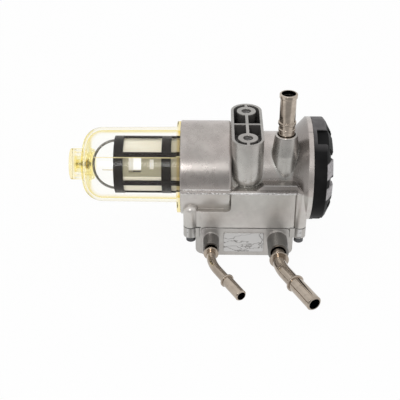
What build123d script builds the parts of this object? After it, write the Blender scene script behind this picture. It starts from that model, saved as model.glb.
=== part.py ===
from build123d import *
from math import cos, pi, radians, sin, sqrt
import os

# Frame-mounted fuel pump and filter module: a cast housing with a screw-in filter, a clear water
# bowl at one end, a filter cap at the other, and a motor-driven gerotor pump in the base.
# Frame: origin at the centre of the mounting face, between its two tapped holes. +Z leaves that
# face, +X runs along the filter axis from the water bowl to the filter cap.
# Heights named "..._up" are measured from the filter axis, and z = axis_z + height.

os.makedirs("parts", exist_ok=True)

# Shared by all pieces: how far a cut runs past the face that it opens, how far a boss runs into
# its wall, and the space between pieces that lie on each other at rest
cut_overrun = 1.0
wall_overlap = 1.0
seat_gap = 0.3

# O-rings
o_ring_section = 1.2
small_o_ring_section = 0.6
o_ring_gap = 0.1
o_ring_groove = 1.6

# Filter element
element_outer_radius = 26.8
element_inner_radius = 15.5
element_left_x = -4.5
element_right_x = 45.0
end_disc_thickness = 2.4
element_core_radius = 14.1
element_core_wall = 1.2
core_window_rows = 5
core_window_pitch = 8.9
core_window_length = 4.0
core_window_width = 8.0
pleat_count = 30
pleat_thickness = 1.1
pleat_inset = 0.4
grommet_radius = 9.6
grommet_length = 3.0
grommet_fit = 0.2
filter_neck_radius = 9.0
filter_neck_wall = 1.6
filter_neck_end_x = 60.0

# Filter chamber in the housing and its standpipe
element_gap = 1.8
chamber_radius = element_outer_radius + element_gap
chamber_floor_gap = 4.5
chamber_floor_x = element_left_x - chamber_floor_gap
barrel_wall = 3.6
right_radius = chamber_radius + barrel_wall
cap_thread_start_x = 47.0
chamber_cone_x = 39.5
seal_recess_depth = 2.5
standpipe_radius = 6.0
standpipe_bore = 4.4
standpipe_fit = 0.1
standpipe_seat_depth = 16.0
standpipe_foot = 8.3
standpipe_left_x = chamber_floor_x - standpipe_foot
standpipe_end_x = 14.0
drilling_radius = 3.5
drilling_x = -21.0
water_passage_radius = 4.0
water_passage_up = -10.0
water_passage_y = -14.0

# Mounting face and its column
pad_height = 42.7
axis_z = -pad_height
pad_width = 27.0
pad_length = 79.0
pad_rim = 2.3
pad_pocket_depth = 26.0
pad_web = 2.5
pad_cross_rib = 1.9
mount_spacing = 50.0
mount_ring_radius = 8.3
mount_tap_radius = 4.25
mount_tap_depth = 18.0
column_base_up = 10.5

# Housing casting
left_radius = 41.1
left_face_x = -56.9
left_edge_round = 1.2
step_x = -13.3
step_edge_round = 2.6
cone_start_x = 38.6
trumpet_round = 9.0
flange_rim_x = 51.0
flange_face_x = 55.0
flange_round = 4.0
parting_up = -2.0
seam_up = -36.6
panel_half_width = 41.0
flange_margin = 4.1
flange_radius = panel_half_width + flange_margin
seal_recess_rim = 4.6
seal_recess_radius = flange_radius - seal_recess_rim
seal_recess_step = 2.5
cap_thread_radius = seal_recess_radius - seal_recess_step
panel_left_x = -38.9
panel_right_x = 37.6
panel_step = 0.8
panel_top_up = -20.5
panel_corner_round = 4.0
base_left_x = -43.6
base_right_x = 41.0
lip_overhang = 1.0
lip_reach = panel_half_width + lip_overhang
lip_top_up = 0.9
ledge_top_up = 6.0
ledge_foot_x = 8.0
ledge_start_x = 13.6
ledge_end_x = 41.5
ledge_slant_x = 48.0
ledge_slant_y = 35.0

# Screw columns, cover ears and cover screws
screw_left_x = -47.8
screw_right_x = 46.2
screw_inset = 5.0
screw_y = panel_half_width - screw_inset
column_left_radius = 6.4
column_right_radius = 5.8
column_left_top_up = -21.5
ear_height = 9.4
ear_neck_step = 3.2
screw_radius = 2.5
screw_head_radius = 4.1
screw_head_height = 5.8
screw_head_edge = 0.4
screw_socket_radius = 2.0
screw_socket_depth = 2.6
screw_thread_depth = 12.0
screw_tip_space = 1.0
screw_clearance = 0.3
screw_fit = 0.1

# Bowl socket in the housing
bowl_rise = 2.3
bowl_socket_radius = 33.8
bowl_socket_depth = 15.0
collar_socket_radius = 25.2
collar_socket_depth = 5.5

# Pump chamber in the base
cavity_wall = 3.2
cavity_floor = 3.0
cavity_roof_up = -9.0

# Pump cover and its gasket
gasket_thickness = 0.8
gasket_inset = 0.4
cover_side_gap = 0.8
cover_bottom_up = -65.3
cover_corner_round = 6.0
cover_step = 1.8
cover_panel_left_x = -38.4
cover_panel_right_x = 37.4
cover_panel_round = 3.0
plate_left_x = -19.1
plate_right_x = 15.4
plate_top_up = -41.7
plate_bottom_up = -60.9
plate_corner_round = 1.5
plate_proud = 0.9

# Pump and motor: a brushed motor drives a gerotor set through one shaft
motor_side_gap = 3.3
case_radius = 15.5
motor_y = panel_half_width - cavity_wall - motor_side_gap - case_radius
motor_up = -46.0
case_wall = 1.1
case_right_x = 29.0
case_window_width = 4.4
case_window_x = -6.5
case_windows = 3
case_window_angle = 90.0
case_window_arc = 36.0
stack_fit = 0.2
discharge_left_x = -40.1
discharge_right_x = -26.0
discharge_port_depth = 2.5
discharge_link_angle = -150.0
discharge_link_arc = 24.0
rotor_set_right_x = -14.0
inlet_plate_right_x = -9.0
gerotor_teeth = 6
gerotor_center_radius = 9.8
gerotor_lobe_radius = 3.0
gerotor_offset = 0.95
gerotor_side_gap = 0.1
gerotor_tip_gap = 0.12
gerotor_outer_radius = 11.5
gerotor_bore_fit = 0.08
gerotor_points_per_tooth = 8
port_inner_radius = 6.3
port_outer_radius = 8.3
port_arc = 120.0
shaft_radius = 2.0
shaft_left_x = -32.0
shaft_right_x = 31.0
shaft_fit = 0.05
shaft_seat_gap = 0.02
bearing_radius = 4.2
bearing_length = 4.0
magnet_inner_radius = 11.3
magnet_left_x = -4.0
magnet_right_x = 18.0
magnet_arc_angle = 130.0
core_radius = 10.9
core_left_x = -1.0
core_right_x = 15.0
core_slots = 6
core_slot_width = 4.0
core_slot_bottom = 5.2
winding_gap = 0.2
winding_overhang = 3.0
winding_radius = 9.4
commutator_left_x = 19.6
commutator_length = 5.4
commutator_radius = 5.2
commutator_bars = 6
commutator_gap = 0.5
brush_width = 4.0
brush_thickness = 3.0
brush_length = 4.2
brush_gap = 0.15
brush_lid = 0.6
brush_guide_wall = 0.9
brush_guide_lift = 0.8
brush_guide_setback = 0.8
brush_coil_radius = 1.1
brush_wire = 0.2
brush_spring_turns = 4
brush_cap_left_x = 25.4
brush_cap_right_x = 32.0
spring_end_gap = 0.1
spring_wire = 0.35

# Cradle ribs of the cover under the motor
cradle_thickness = 3.0
cradle_left_x = -19.0
cradle_right_x = 13.0
cradle_lip = 1.6
cradle_fit = 0.3

# Relief valve in the discharge end
relief_drop = 7.3
relief_bore = 2.4
relief_seat = 1.5
relief_seat_x = -31.5
relief_poppet_length = 2.0
poppet_fit = 0.08
relief_side_hole = 0.9
relief_coil_radius = 1.5
relief_plug_length = 2.0
relief_plug_vent = 0.8
relief_spring_turns = 3
valve_rest_gap = 0.3

# Outlet gallery in the cover, with the spigot of the discharge end and the check valve
gallery_radius = 6.6
gallery_motor_gap = 5.5
gallery_end_y = motor_y - case_radius - gallery_motor_gap
spigot_radius = 3.5
spigot_bore = 2.0
spigot_depth = 4.0
spigot_tip_y = gallery_end_y - spigot_depth
spigot_drilling_setback = 5.0
spigot_socket_radius = 3.7
spigot_socket_depth = 8.0
valve_seat_length = 4.0
valve_seat_y = gallery_end_y - spigot_socket_depth - valve_seat_length
valve_seat_radius = 2.2
valve_chamber_radius = 4.3
check_ball_radius = 3.3
check_spring_turns = 7
check_spring_radius = 3.1
check_spring_back = 0.9

# Tube bosses on the cover
tube_up = -48.5
small_boss_x = -30.0
small_boss_radius = 6.9
small_boss_length = 15.6
small_boss_mouth_y = -panel_half_width - small_boss_length
small_mouth_radius = 5.25
small_mouth_depth = 16.5
large_boss_x = 27.2
large_boss_radius = 8.8
large_boss_length = 20.0
large_boss_mouth_y = -panel_half_width - large_boss_length
large_mouth_radius = 6.65
large_mouth_depth = 20.0
large_bore_step = 1.5

# Tubes: the first bead stops at the mouth, the second is the stop of the quick connector
tube_wall = 0.9
insert_fit = 0.2
bead_thickness = 1.8
bead_round = 0.7
second_bead_step = 0.5
tube_end_chamfer = 1.0
small_tube_radius = 3.95
small_bead_offset = 6.0
small_bead_radius = 6.4
small_turn_angle = 29.0
small_bend_offset = 19.9
small_bend_radius = 42.0
small_elbow_length = 27.0
small_end_length = 23.0
small_end_radius = 4.745
small_end_bore = 3.6
large_tube_radius = 5.65
large_bead_offset = 10.0
large_bead_radius = 8.2
large_turn_angle = 26.5
large_bend_offset = 20.0
large_bend_radius = 40.0
large_elbow_length = 24.5
large_end_length = 29.5
large_end_radius = 6.35
large_end_bore = 4.75

# Hose nipple on the housing
nipple_x = 32.1
nipple_y = -19.6
nipple_boss_top_up = 43.8
nipple_boss_mouth_radius = 9.4
nipple_boss_waist_up = 27.0
nipple_boss_radius = 11.5
nipple_boss_round = 0.7
nipple_top_up = 80.7
nipple_radius = 6.7
nipple_bore = 5.0
nipple_mouth_bore = 5.9
nipple_mouth_depth = 3.6
nipple_bead_radius = 7.5
nipple_top_bead_length = 3.6
nipple_low_bead_up = 53.0
nipple_low_bead_length = 3.0
nipple_stop_up = 47.4
nipple_stop_length = 2.6
nipple_stop_radius = 7.1
nipple_seat_radius = 7.8
nipple_seat_depth = 11.0
nipple_hub_radius = 7.6
nipple_hub_setback = 2.2
nipple_o_ring_up = 38.0

# Filter cap
cap_gap = 0.3
cap_rim_step = 0.1
cap_radius = flange_radius - cap_rim_step
cap_rim_end_x = 65.6
cap_shoulder_x = 68.2
cap_shoulder_step = 3.3
cap_shoulder_radius = cap_radius - cap_shoulder_step
cap_crown_x = 71.6
cap_crown_radius = 25.0
cap_wall = 3.0
cap_edge_round = 1.2
cap_plug_left_x = 47.6
cap_thread_clearance = 0.3
cap_collar_left_x = 48.0
cap_collar_wall = 1.6
cap_roof_step = 1.0
cap_notch_angle = 114.2
cap_notch_width = 15.5
cap_notch_depth = 3.0
cap_notch_start_x = 58.2
cap_notches = 3
lug_count = 10
lug_pitch_angle = 36.0
lug_first_angle = 150.2
lug_arc = 25.0
lug_inner_radius = 27.0
lug_foot_step = 0.2
lug_foot_radius = cap_shoulder_radius - lug_foot_step
lug_slope = 7.5
lug_top_radius = lug_foot_radius - lug_slope
lug_end_x = 72.2
cap_socket_radius = 9.5
cap_socket_depth = 6.0

# Strainer cage, its neck and the hoop in the bowl
cage_offset = 8.0
cage_length = 49.2
cage_right_x = left_face_x - cage_offset
cage_left_x = cage_right_x - cage_length
cage_radius = 25.2
cage_band_wall = 1.8
cage_band_width = 8.1
cage_ribs = 6
cage_rib_angle = 130.8
cage_rib_arc = 9.5
screen_radius = 23.1
screen_wall = 0.8
screen_inset = 1.0
screen_window_offset = 13.1
screen_window_length = 10.7
screen_window_arc = 35.0
screen_slot_offset = 31.0
screen_slot_length = 3.4
screen_slot_arc = 21.0
screen_windows = 2
screen_window_angle = 150.0
collar_wall = 1.6
collar_fit = 0.2
hoop_angle = 62.0
hoop_wire_radius = 1.1
hoop_radius = 20.9
hoop_height = 20.2
hoop_foot_depth = 7.6

# Water bowl: its length leaves room for the hoop
hoop_end_space = 8.3
drain_boss_length = 9.0
drain_boss_radius = 16.0
drain_boss_tip_radius = 13.0
drain_hub_radius = 8.0
drain_hub_tip_radius = 6.0
drain_hub_length = 6.0
hoop_apex_x = cage_left_x - hoop_height
bowl_end_x = hoop_apex_x - hoop_end_space
bowl_flange_inset = 0.9
bowl_flange_radius = left_radius - bowl_flange_inset
bowl_flange_thickness = 3.0
bowl_neck_gap = 1.2
bowl_neck_radius = bowl_socket_radius - bowl_neck_gap
bowl_shoulder = 0.6
bowl_radius = bowl_neck_radius + bowl_shoulder
bowl_draft = 0.6
bowl_wall = 2.8
bowl_end_length = 16.6
bowl_end_radius = 14.2
bowl_neck_length = 13.4
bowl_seal_offset = 8.0
bowl_seal_section = 0.9
bowl_seal_groove = 2.4
bowl_seam_angle = 140.4
bowl_seam_width = 0.8
bowl_seam_proud = 0.3
drain_neck_radius = 8.0
drain_neck_length = 7.0
drain_bore = 4.0
drain_seat_bore = 2.6
drain_seat_offset = 3.6

# Drain knob and stem
knob_gap = 0.4
knob_radius = 13.7
knob_length = 11.3
knob_disc = 4.0
knob_edge_round = 0.8
knob_inner_radius = 11.5
knob_thread_ring = 10.3
knob_bore_clearance = 0.3
knob_hub_length = 3.0
knob_grips = 12
knob_grip_radius = 1.6
stem_radius = 1.7
stem_head_radius = 3.6
stem_head_length = 3.0
stem_seal_offset = 1.9
stem_tip_offset = 6.0
stem_hinge_fit = 0.08

# Electrical connector on the back of the cover
connector_x = 31.6
connector_up = -51.0
connector_flange_x = 17.0
connector_flange_z = 20.0
connector_flange_y = 2.6
connector_shroud_x = 11.0
connector_shroud_z = 17.0
connector_length = 14.0
connector_wall = 1.5
connector_corner = 1.5
connector_plug_x = 8.0
connector_plug_z = 14.0
connector_plug_fit = 0.1
latch_width = 3.0
latch_height = 1.6
latch_setback = 4.0
blade_spacing = 7.0
blade_width = 2.8
blade_thickness = 0.8
blade_x = 33.6
blade_inner_reach = 8.0
blade_outer_reach = 10.0
blade_fit = 0.1

# Values that follow from the driving ones
parting_z = axis_z + parting_up
seam_z = axis_z + seam_up
cover_top_z = seam_z - gasket_thickness
cover_bottom_z = axis_z + cover_bottom_up
ear_bottom_z = cover_top_z - ear_height
motor_z = axis_z + motor_up
tube_z = axis_z + tube_up
bowl_z = axis_z + bowl_rise
cavity_half_width = panel_half_width - cavity_wall
cavity_left_x = base_left_x + cavity_wall
cavity_right_x = base_right_x - cavity_wall
bowl_top_x = left_face_x - bowl_flange_thickness
collar_end_x = left_face_x + bowl_socket_depth + collar_socket_depth
drain_seat_x = bowl_end_x + drain_seat_offset
stem_seal_x = drain_seat_x - stem_seal_offset
knob_end_x = bowl_end_x - knob_length
screw_spots = [(x, y) for x in (screw_left_x, screw_right_x) for y in (-screw_y, screw_y)]
filter_axis = Axis((0, 0, axis_z), (1, 0, 0))
bowl_axis = Axis((0, 0, bowl_z), (1, 0, 0))
small_axis = Axis((small_boss_x, 0, tube_z), (0, 1, 0))
large_axis = Axis((large_boss_x, 0, tube_z), (0, 1, 0))


# A plane across the X axis: local x is +Y and local y is +Z
def across_x(x, y=0.0, z=axis_z):
    return Plane(origin=(x, y, z), x_dir=(0, 1, 0), z_dir=(1, 0, 0))


# A plane along the X axis that faces -Y: local x is +X and local y is +Z
def along_x(y=0.0, z=axis_z):
    return Plane(origin=(0, y, z), x_dir=(1, 0, 0), z_dir=(0, -1, 0))


# A plane across the Y axis that faces +Y, for bores and bosses that run along it
def across_y(y, x=0.0, z=axis_z):
    return Plane(origin=(x, y, z), x_dir=(-1, 0, 0), z_dir=(0, 1, 0))


def finish(piece, name):
    piece.part.label = name
    export_step(piece.part, f"parts/{name}.step")


# A ring of round section about a centre, square to a direction
def o_ring(center, direction, ring_radius, section):
    with BuildPart(Plane(origin=center, z_dir=direction)) as ring:
        Torus(ring_radius, section)
    return ring


# A round wire coil that starts at a centre and grows along a direction
def coil_spring(center, direction, length, coil_radius, wire_radius, turns):
    with BuildPart() as spring:
        with BuildLine() as path:
            Helix(pitch=length / turns, height=length, radius=coil_radius, center=center, direction=direction)
        with BuildSketch(Plane(origin=path.line @ 0, z_dir=path.line % 0)):
            Circle(wire_radius)
        sweep(path=path.line, is_frenet=True)
    return spring


# A stretch of a flat ring, by its radii, middle angle and arc in degrees
def ring_sector(inner, outer, middle, arc, mode=Mode.ADD):
    with BuildLine() as outline:
        inside = CenterArc((0, 0), inner, middle - arc / 2, arc)
        outside = CenterArc((0, 0), outer, middle - arc / 2, arc)
        Line(inside @ 0, outside @ 0)
        Line(inside @ 1, outside @ 1)
    make_face(outline.edges(), mode=mode)


# A tube from one face to another across the X axis
def x_tube(left_x, right_x, outer, inner, y=0.0, z=axis_z, mode=Mode.ADD):
    with BuildSketch(across_x(left_x, y, z)) as section:
        Circle(outer)
        if inner:
            Circle(inner, mode=Mode.SUBTRACT)
    extrude(section.sketch, amount=right_x - left_x, mode=mode)


# Main housing: one die casting with the filter barrel, bowl socket, mounting column and base box
with BuildPart() as main_housing:
    with BuildSketch(across_x(left_face_x)):
        Circle(left_radius)
    extrude(amount=step_x - left_face_x)
    fillet(main_housing.edges().filter_by(GeomType.CIRCLE).sort_by(Axis.X)[0], left_edge_round)
    fillet(main_housing.edges().filter_by(GeomType.CIRCLE).sort_by(Axis.X)[-1], step_edge_round)
    with BuildSketch(along_x()) as barrel_profile:
        with BuildLine():
            Polyline(
                (step_x - step_edge_round - wall_overlap, 0),
                (flange_face_x, 0),
                (flange_face_x, flange_radius),
                (flange_rim_x, flange_radius),
                (cone_start_x, right_radius),
                (step_x - step_edge_round - wall_overlap, right_radius),
                close=True,
            )
        make_face()
        fillet(barrel_profile.vertices().group_by(Axis.Z)[-1].sort_by(Axis.X)[0], flange_round)
        fillet(barrel_profile.vertices().sort_by_distance((cone_start_x, 0, axis_z + right_radius))[0],
               trumpet_round)
    revolve(axis=filter_axis)

    with BuildSketch(along_x(-panel_half_width)) as panel_profile:
        with BuildLine():
            Polyline(
                (panel_left_x, panel_top_up),
                (step_x, panel_top_up),
                (step_x, parting_up),
                (panel_right_x, parting_up),
                (panel_right_x, seam_up),
                (panel_left_x, seam_up),
                close=True,
            )
        make_face()
        inner_corner = (step_x, -panel_half_width, axis_z + panel_top_up)
        fillet(panel_profile.vertices().sort_by_distance(inner_corner)[0], panel_corner_round)
    extrude(amount=-2 * panel_half_width)
    with BuildSketch(along_x(-(panel_half_width - panel_step))):
        with BuildLine():
            Polyline(
                (base_left_x, panel_top_up),
                (step_x, panel_top_up),
                (step_x, parting_up),
                (base_right_x, parting_up),
                (base_right_x, seam_up),
                (base_left_x, seam_up),
                close=True,
            )
        make_face()
    extrude(amount=-2 * (panel_half_width - panel_step))

    with BuildSketch(Plane.XY.offset(parting_z)):
        with BuildLine():
            Polyline(
                (left_face_x, -lip_reach),
                (ledge_end_x, -lip_reach),
                (ledge_slant_x, -ledge_slant_y),
                (ledge_slant_x, ledge_slant_y),
                (ledge_end_x, lip_reach),
                (left_face_x, lip_reach),
                close=True,
            )
        make_face()
    extrude(amount=lip_top_up - parting_up)
    with BuildSketch(along_x(-panel_half_width)):
        with BuildLine():
            Polyline(
                (ledge_foot_x, parting_up),
                (ledge_foot_x, lip_top_up),
                (ledge_start_x, ledge_top_up),
                (ledge_end_x, ledge_top_up),
                (ledge_slant_x, parting_up),
                close=True,
            )
        make_face()
    extrude(amount=-2 * panel_half_width)

    with BuildSketch(Plane.XY.offset(seam_z)):
        with Locations(*[(x, y) for x, y in screw_spots if x < 0]):
            Circle(column_left_radius)
    extrude(amount=column_left_top_up - seam_up)
    with Locations(*[(x, y, axis_z + column_left_top_up) for x, y in screw_spots if x < 0]):
        Sphere(column_left_radius)
    with BuildSketch(Plane.XY.offset(seam_z)):
        with Locations(*[(x, y) for x, y in screw_spots if x > 0]):
            Circle(column_right_radius)
    extrude(amount=parting_up - seam_up)

    with BuildSketch(Plane.XY):
        SlotOverall(pad_length, pad_width, rotation=90)
    extrude(amount=-(pad_height - column_base_up))
    with Locations(*[(0, side * (pad_length - pad_width) / 2, axis_z + column_base_up) for side in (-1, 1)]):
        Sphere(pad_width / 2)

    with BuildSketch(Plane(origin=(nipple_x, nipple_y, axis_z), x_dir=(1, 0, 0), z_dir=(0, -1, 0))):
        with BuildLine():
            Polyline(
                (0, 0),
                (nipple_boss_radius, 0),
                (nipple_boss_radius, nipple_boss_waist_up),
                (nipple_boss_mouth_radius, nipple_boss_top_up),
                (0, nipple_boss_top_up),
                close=True,
            )
        make_face()
    boss = revolve(axis=Axis((nipple_x, nipple_y, 0), (0, 0, 1)))
    fillet(boss.faces().sort_by(Axis.Z)[-1].edges(), nipple_boss_round)

    with BuildSketch(across_x(left_face_x, 0, bowl_z)):
        Circle(bowl_socket_radius)
    extrude(amount=bowl_socket_depth, mode=Mode.SUBTRACT)
    with BuildSketch(across_x(left_face_x + bowl_socket_depth, 0, bowl_z)):
        Circle(collar_socket_radius)
    extrude(amount=collar_socket_depth, mode=Mode.SUBTRACT)
    with BuildSketch(along_x()):
        with BuildLine():
            Polyline(
                (chamber_floor_x, 0),
                (chamber_floor_x, chamber_radius),
                (chamber_cone_x, chamber_radius),
                (cap_thread_start_x, cap_thread_radius),
                (flange_face_x - seal_recess_depth, cap_thread_radius),
                (flange_face_x - seal_recess_depth, seal_recess_radius),
                (flange_face_x, seal_recess_radius),
                (flange_face_x, 0),
                close=True,
            )
        make_face()
    revolve(axis=filter_axis, mode=Mode.SUBTRACT)
    with BuildSketch(across_x(chamber_floor_x - standpipe_seat_depth)):
        Circle(standpipe_radius + standpipe_fit)
    extrude(amount=standpipe_seat_depth, mode=Mode.SUBTRACT)
    with BuildSketch(Plane(origin=(drilling_x, 0, seam_z), x_dir=(1, 0, 0), z_dir=(0, 0, 1))):
        Circle(drilling_radius)
    extrude(amount=-seam_up, mode=Mode.SUBTRACT)
    with BuildSketch(across_x(collar_end_x - cut_overrun, water_passage_y, axis_z + water_passage_up)):
        Circle(water_passage_radius)
    extrude(amount=chamber_floor_x - collar_end_x + 2 * cut_overrun, mode=Mode.SUBTRACT)

    with BuildPart(mode=Mode.PRIVATE) as pad_pockets:
        with BuildSketch(Plane.XY):
            SlotOverall(pad_length - 2 * pad_rim, pad_width - 2 * pad_rim, rotation=90)
            Rectangle(pad_web, pad_length, mode=Mode.SUBTRACT)
            Rectangle(pad_width, pad_cross_rib, mode=Mode.SUBTRACT)
            with GridLocations(0, mount_spacing, 1, 2):
                Circle(mount_ring_radius, mode=Mode.SUBTRACT)
        extrude(amount=-pad_pocket_depth)
        with BuildSketch(across_x(-pad_width)):
            Circle(right_radius)
        extrude(amount=2 * pad_width, mode=Mode.SUBTRACT)
    add(pad_pockets.part, mode=Mode.SUBTRACT)
    with BuildSketch(Plane.XY):
        with GridLocations(0, mount_spacing, 1, 2):
            Circle(mount_tap_radius)
    extrude(amount=-mount_tap_depth, mode=Mode.SUBTRACT)

    with BuildSketch(Plane.XY.offset(axis_z + nipple_boss_top_up)):
        with Locations((nipple_x, nipple_y)):
            Circle(nipple_seat_radius)
    extrude(amount=-nipple_seat_depth, mode=Mode.SUBTRACT)
    with BuildSketch(Plane.XY.offset(axis_z + nipple_boss_top_up)):
        with Locations((nipple_x, nipple_y)):
            Circle(nipple_bore)
    extrude(amount=-(nipple_boss_top_up - sqrt(chamber_radius**2 - (abs(nipple_y) + nipple_bore)**2)),
            mode=Mode.SUBTRACT)

    with BuildPart(mode=Mode.PRIVATE) as base_cavity:
        with BuildSketch(Plane.XY.offset(seam_z)):
            with Locations(((step_x + cavity_wall + cavity_right_x) / 2, 0)):
                RectangleRounded(cavity_right_x - step_x - cavity_wall, 2 * cavity_half_width, cavity_wall)
        extrude(amount=cavity_roof_up - seam_up)
        with BuildSketch(across_x(step_x)):
            Circle(right_radius)
        extrude(amount=cavity_right_x - step_x + cavity_wall, mode=Mode.SUBTRACT)
    add(base_cavity.part, mode=Mode.SUBTRACT)
    with BuildSketch(across_x(cavity_left_x, motor_y, motor_z)):
        Circle(case_radius + cradle_fit)
    extrude(amount=cavity_right_x - cavity_left_x, mode=Mode.SUBTRACT)
    with BuildSketch(Plane.XY.offset(seam_z)):
        with Locations(*screw_spots):
            Circle(screw_radius + screw_fit)
    extrude(amount=screw_thread_depth, mode=Mode.SUBTRACT)
    with BuildSketch(Plane.XY.offset(seam_z)):
        with Locations(((base_left_x - cover_side_gap + base_right_x) / 2, 0)):
            Rectangle(base_right_x - base_left_x + cover_side_gap, 3 * left_radius)
    extrude(amount=-left_radius, mode=Mode.SUBTRACT)
finish(main_housing, "main_housing")


# Outline of the four screw ears, seen from above
def ear_outline(inset):
    for x, y in screw_spots:
        ear_radius = (column_left_radius if x < 0 else column_right_radius) - inset
        wall_x = cavity_left_x if x < 0 else cavity_right_x
        with Locations((x, y)):
            Circle(ear_radius)
        with Locations(((x + wall_x) / 2, y)):
            Rectangle(abs(x - wall_x), 2 * ear_radius - ear_neck_step)


# Cavity outline seen from above
def cavity_outline(mode=Mode.ADD):
    with Locations(((cavity_left_x + cavity_right_x) / 2, 0)):
        RectangleRounded(cavity_right_x - cavity_left_x, 2 * cavity_half_width, cavity_wall, mode=mode)


# Pump cover: the lower casting, a tray that carries the pump and both tube bosses
with BuildPart() as pump_cover:
    with BuildSketch(along_x(-(panel_half_width - cover_step))) as cover_profile:
        with BuildLine():
            Polyline(
                (base_left_x, seam_up - gasket_thickness),
                (base_right_x, seam_up - gasket_thickness),
                (base_right_x, cover_bottom_up),
                (base_left_x, cover_bottom_up),
                close=True,
            )
        make_face()
        fillet(cover_profile.vertices().group_by(Axis.Z)[0], cover_corner_round)
    extrude(amount=-2 * (panel_half_width - cover_step))
    with BuildSketch(along_x(-panel_half_width)) as front_profile:
        with BuildLine():
            Polyline(
                (cover_panel_left_x, seam_up - gasket_thickness),
                (cover_panel_right_x, seam_up - gasket_thickness),
                (cover_panel_right_x, cover_bottom_up),
                (cover_panel_left_x, cover_bottom_up),
                close=True,
            )
        make_face()
        fillet(front_profile.vertices().group_by(Axis.Z)[0], cover_panel_round)
    extrude(amount=-2 * panel_half_width)
    with BuildSketch(Plane.XY.offset(cover_top_z)):
        ear_outline(0)
    extrude(amount=-ear_height)
    with BuildSketch(Plane.XY.offset(cover_top_z)):
        cavity_outline()
    extrude(amount=-(cover_top_z - cover_bottom_z - cavity_floor), mode=Mode.SUBTRACT)
    with BuildSketch(along_x(-panel_half_width)):
        with Locations(((plate_left_x + plate_right_x) / 2, (plate_top_up + plate_bottom_up) / 2)):
            RectangleRounded(plate_right_x - plate_left_x, plate_top_up - plate_bottom_up, plate_corner_round)
    extrude(amount=plate_proud)
    with BuildSketch(across_y(small_boss_mouth_y, small_boss_x, tube_z)):
        Circle(small_boss_radius)
    extrude(amount=small_boss_length + wall_overlap)
    with BuildSketch(across_y(-cavity_half_width - wall_overlap, small_boss_x, tube_z)):
        Circle(gallery_radius)
    extrude(amount=gallery_end_y + cavity_half_width + wall_overlap)
    with BuildSketch(across_y(large_boss_mouth_y, large_boss_x, tube_z)):
        Circle(large_boss_radius)
    extrude(amount=large_boss_length + wall_overlap)
    cradle_foot = cover_bottom_z + cavity_floor - wall_overlap - motor_z
    for rib_x in (cradle_left_x, cradle_right_x):
        with BuildSketch(across_x(rib_x, motor_y, motor_z)) as rib_profile:
            with BuildLine():
                Polyline(
                    (-case_radius - cradle_fit - cradle_lip, 0),
                    (cavity_half_width - motor_y + wall_overlap, 0),
                    (cavity_half_width - motor_y + wall_overlap, cradle_foot),
                    (-case_radius - cradle_fit - cradle_lip, cradle_foot),
                    close=True,
                )
            make_face()
            Circle(case_radius + cradle_fit, mode=Mode.SUBTRACT)
        extrude(amount=cradle_thickness)
    with BuildSketch(Plane(origin=(small_boss_x, 0, tube_z), x_dir=(0, 1, 0), z_dir=(-1, 0, 0))):
        with BuildLine():
            Polyline(
                (gallery_end_y + cut_overrun, 0),
                (gallery_end_y + cut_overrun, spigot_socket_radius),
                (gallery_end_y - spigot_socket_depth, spigot_socket_radius),
                (gallery_end_y - spigot_socket_depth, valve_seat_radius),
                (valve_seat_y, valve_seat_radius),
                (valve_seat_y, valve_chamber_radius),
                (small_boss_mouth_y + small_mouth_depth, valve_chamber_radius),
                (small_boss_mouth_y + small_mouth_depth, small_mouth_radius),
                (small_boss_mouth_y - cut_overrun, small_mouth_radius),
                (small_boss_mouth_y - cut_overrun, 0),
                close=True,
            )
        make_face()
    revolve(axis=small_axis, mode=Mode.SUBTRACT)
    with BuildSketch(Plane(origin=(large_boss_x, 0, tube_z), x_dir=(0, 1, 0), z_dir=(-1, 0, 0))):
        with BuildLine():
            Polyline(
                (-cavity_half_width + cut_overrun, 0),
                (-cavity_half_width + cut_overrun, large_mouth_radius - large_bore_step),
                (large_boss_mouth_y + large_mouth_depth, large_mouth_radius - large_bore_step),
                (large_boss_mouth_y + large_mouth_depth, large_mouth_radius),
                (large_boss_mouth_y - cut_overrun, large_mouth_radius),
                (large_boss_mouth_y - cut_overrun, 0),
                close=True,
            )
        make_face()
    revolve(axis=large_axis, mode=Mode.SUBTRACT)
    with BuildSketch(Plane.XY.offset(cover_top_z)):
        with Locations(*screw_spots):
            Circle(screw_radius + screw_clearance)
    extrude(amount=-ear_height, mode=Mode.SUBTRACT)
    with BuildSketch(across_y(cavity_half_width - cut_overrun, connector_x, axis_z + connector_up)):
        Rectangle(connector_plug_x, connector_plug_z)
    extrude(amount=cavity_wall + 2 * cut_overrun, mode=Mode.SUBTRACT)
finish(pump_cover, "pump_cover")


# Cover gasket: a flat ring that follows the cover's rim and ears
with BuildPart() as cover_gasket:
    with BuildSketch(Plane.XY.offset(cover_top_z)):
        with Locations(((base_left_x + base_right_x) / 2, 0)):
            RectangleRounded(base_right_x - base_left_x - 2 * gasket_inset,
                             2 * (panel_half_width - panel_step - gasket_inset), cavity_wall)
        ear_outline(gasket_inset)
        cavity_outline(Mode.SUBTRACT)
        with Locations(*screw_spots):
            Circle(screw_radius + screw_clearance, mode=Mode.SUBTRACT)
    extrude(amount=gasket_thickness)
finish(cover_gasket, "cover_gasket")

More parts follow.
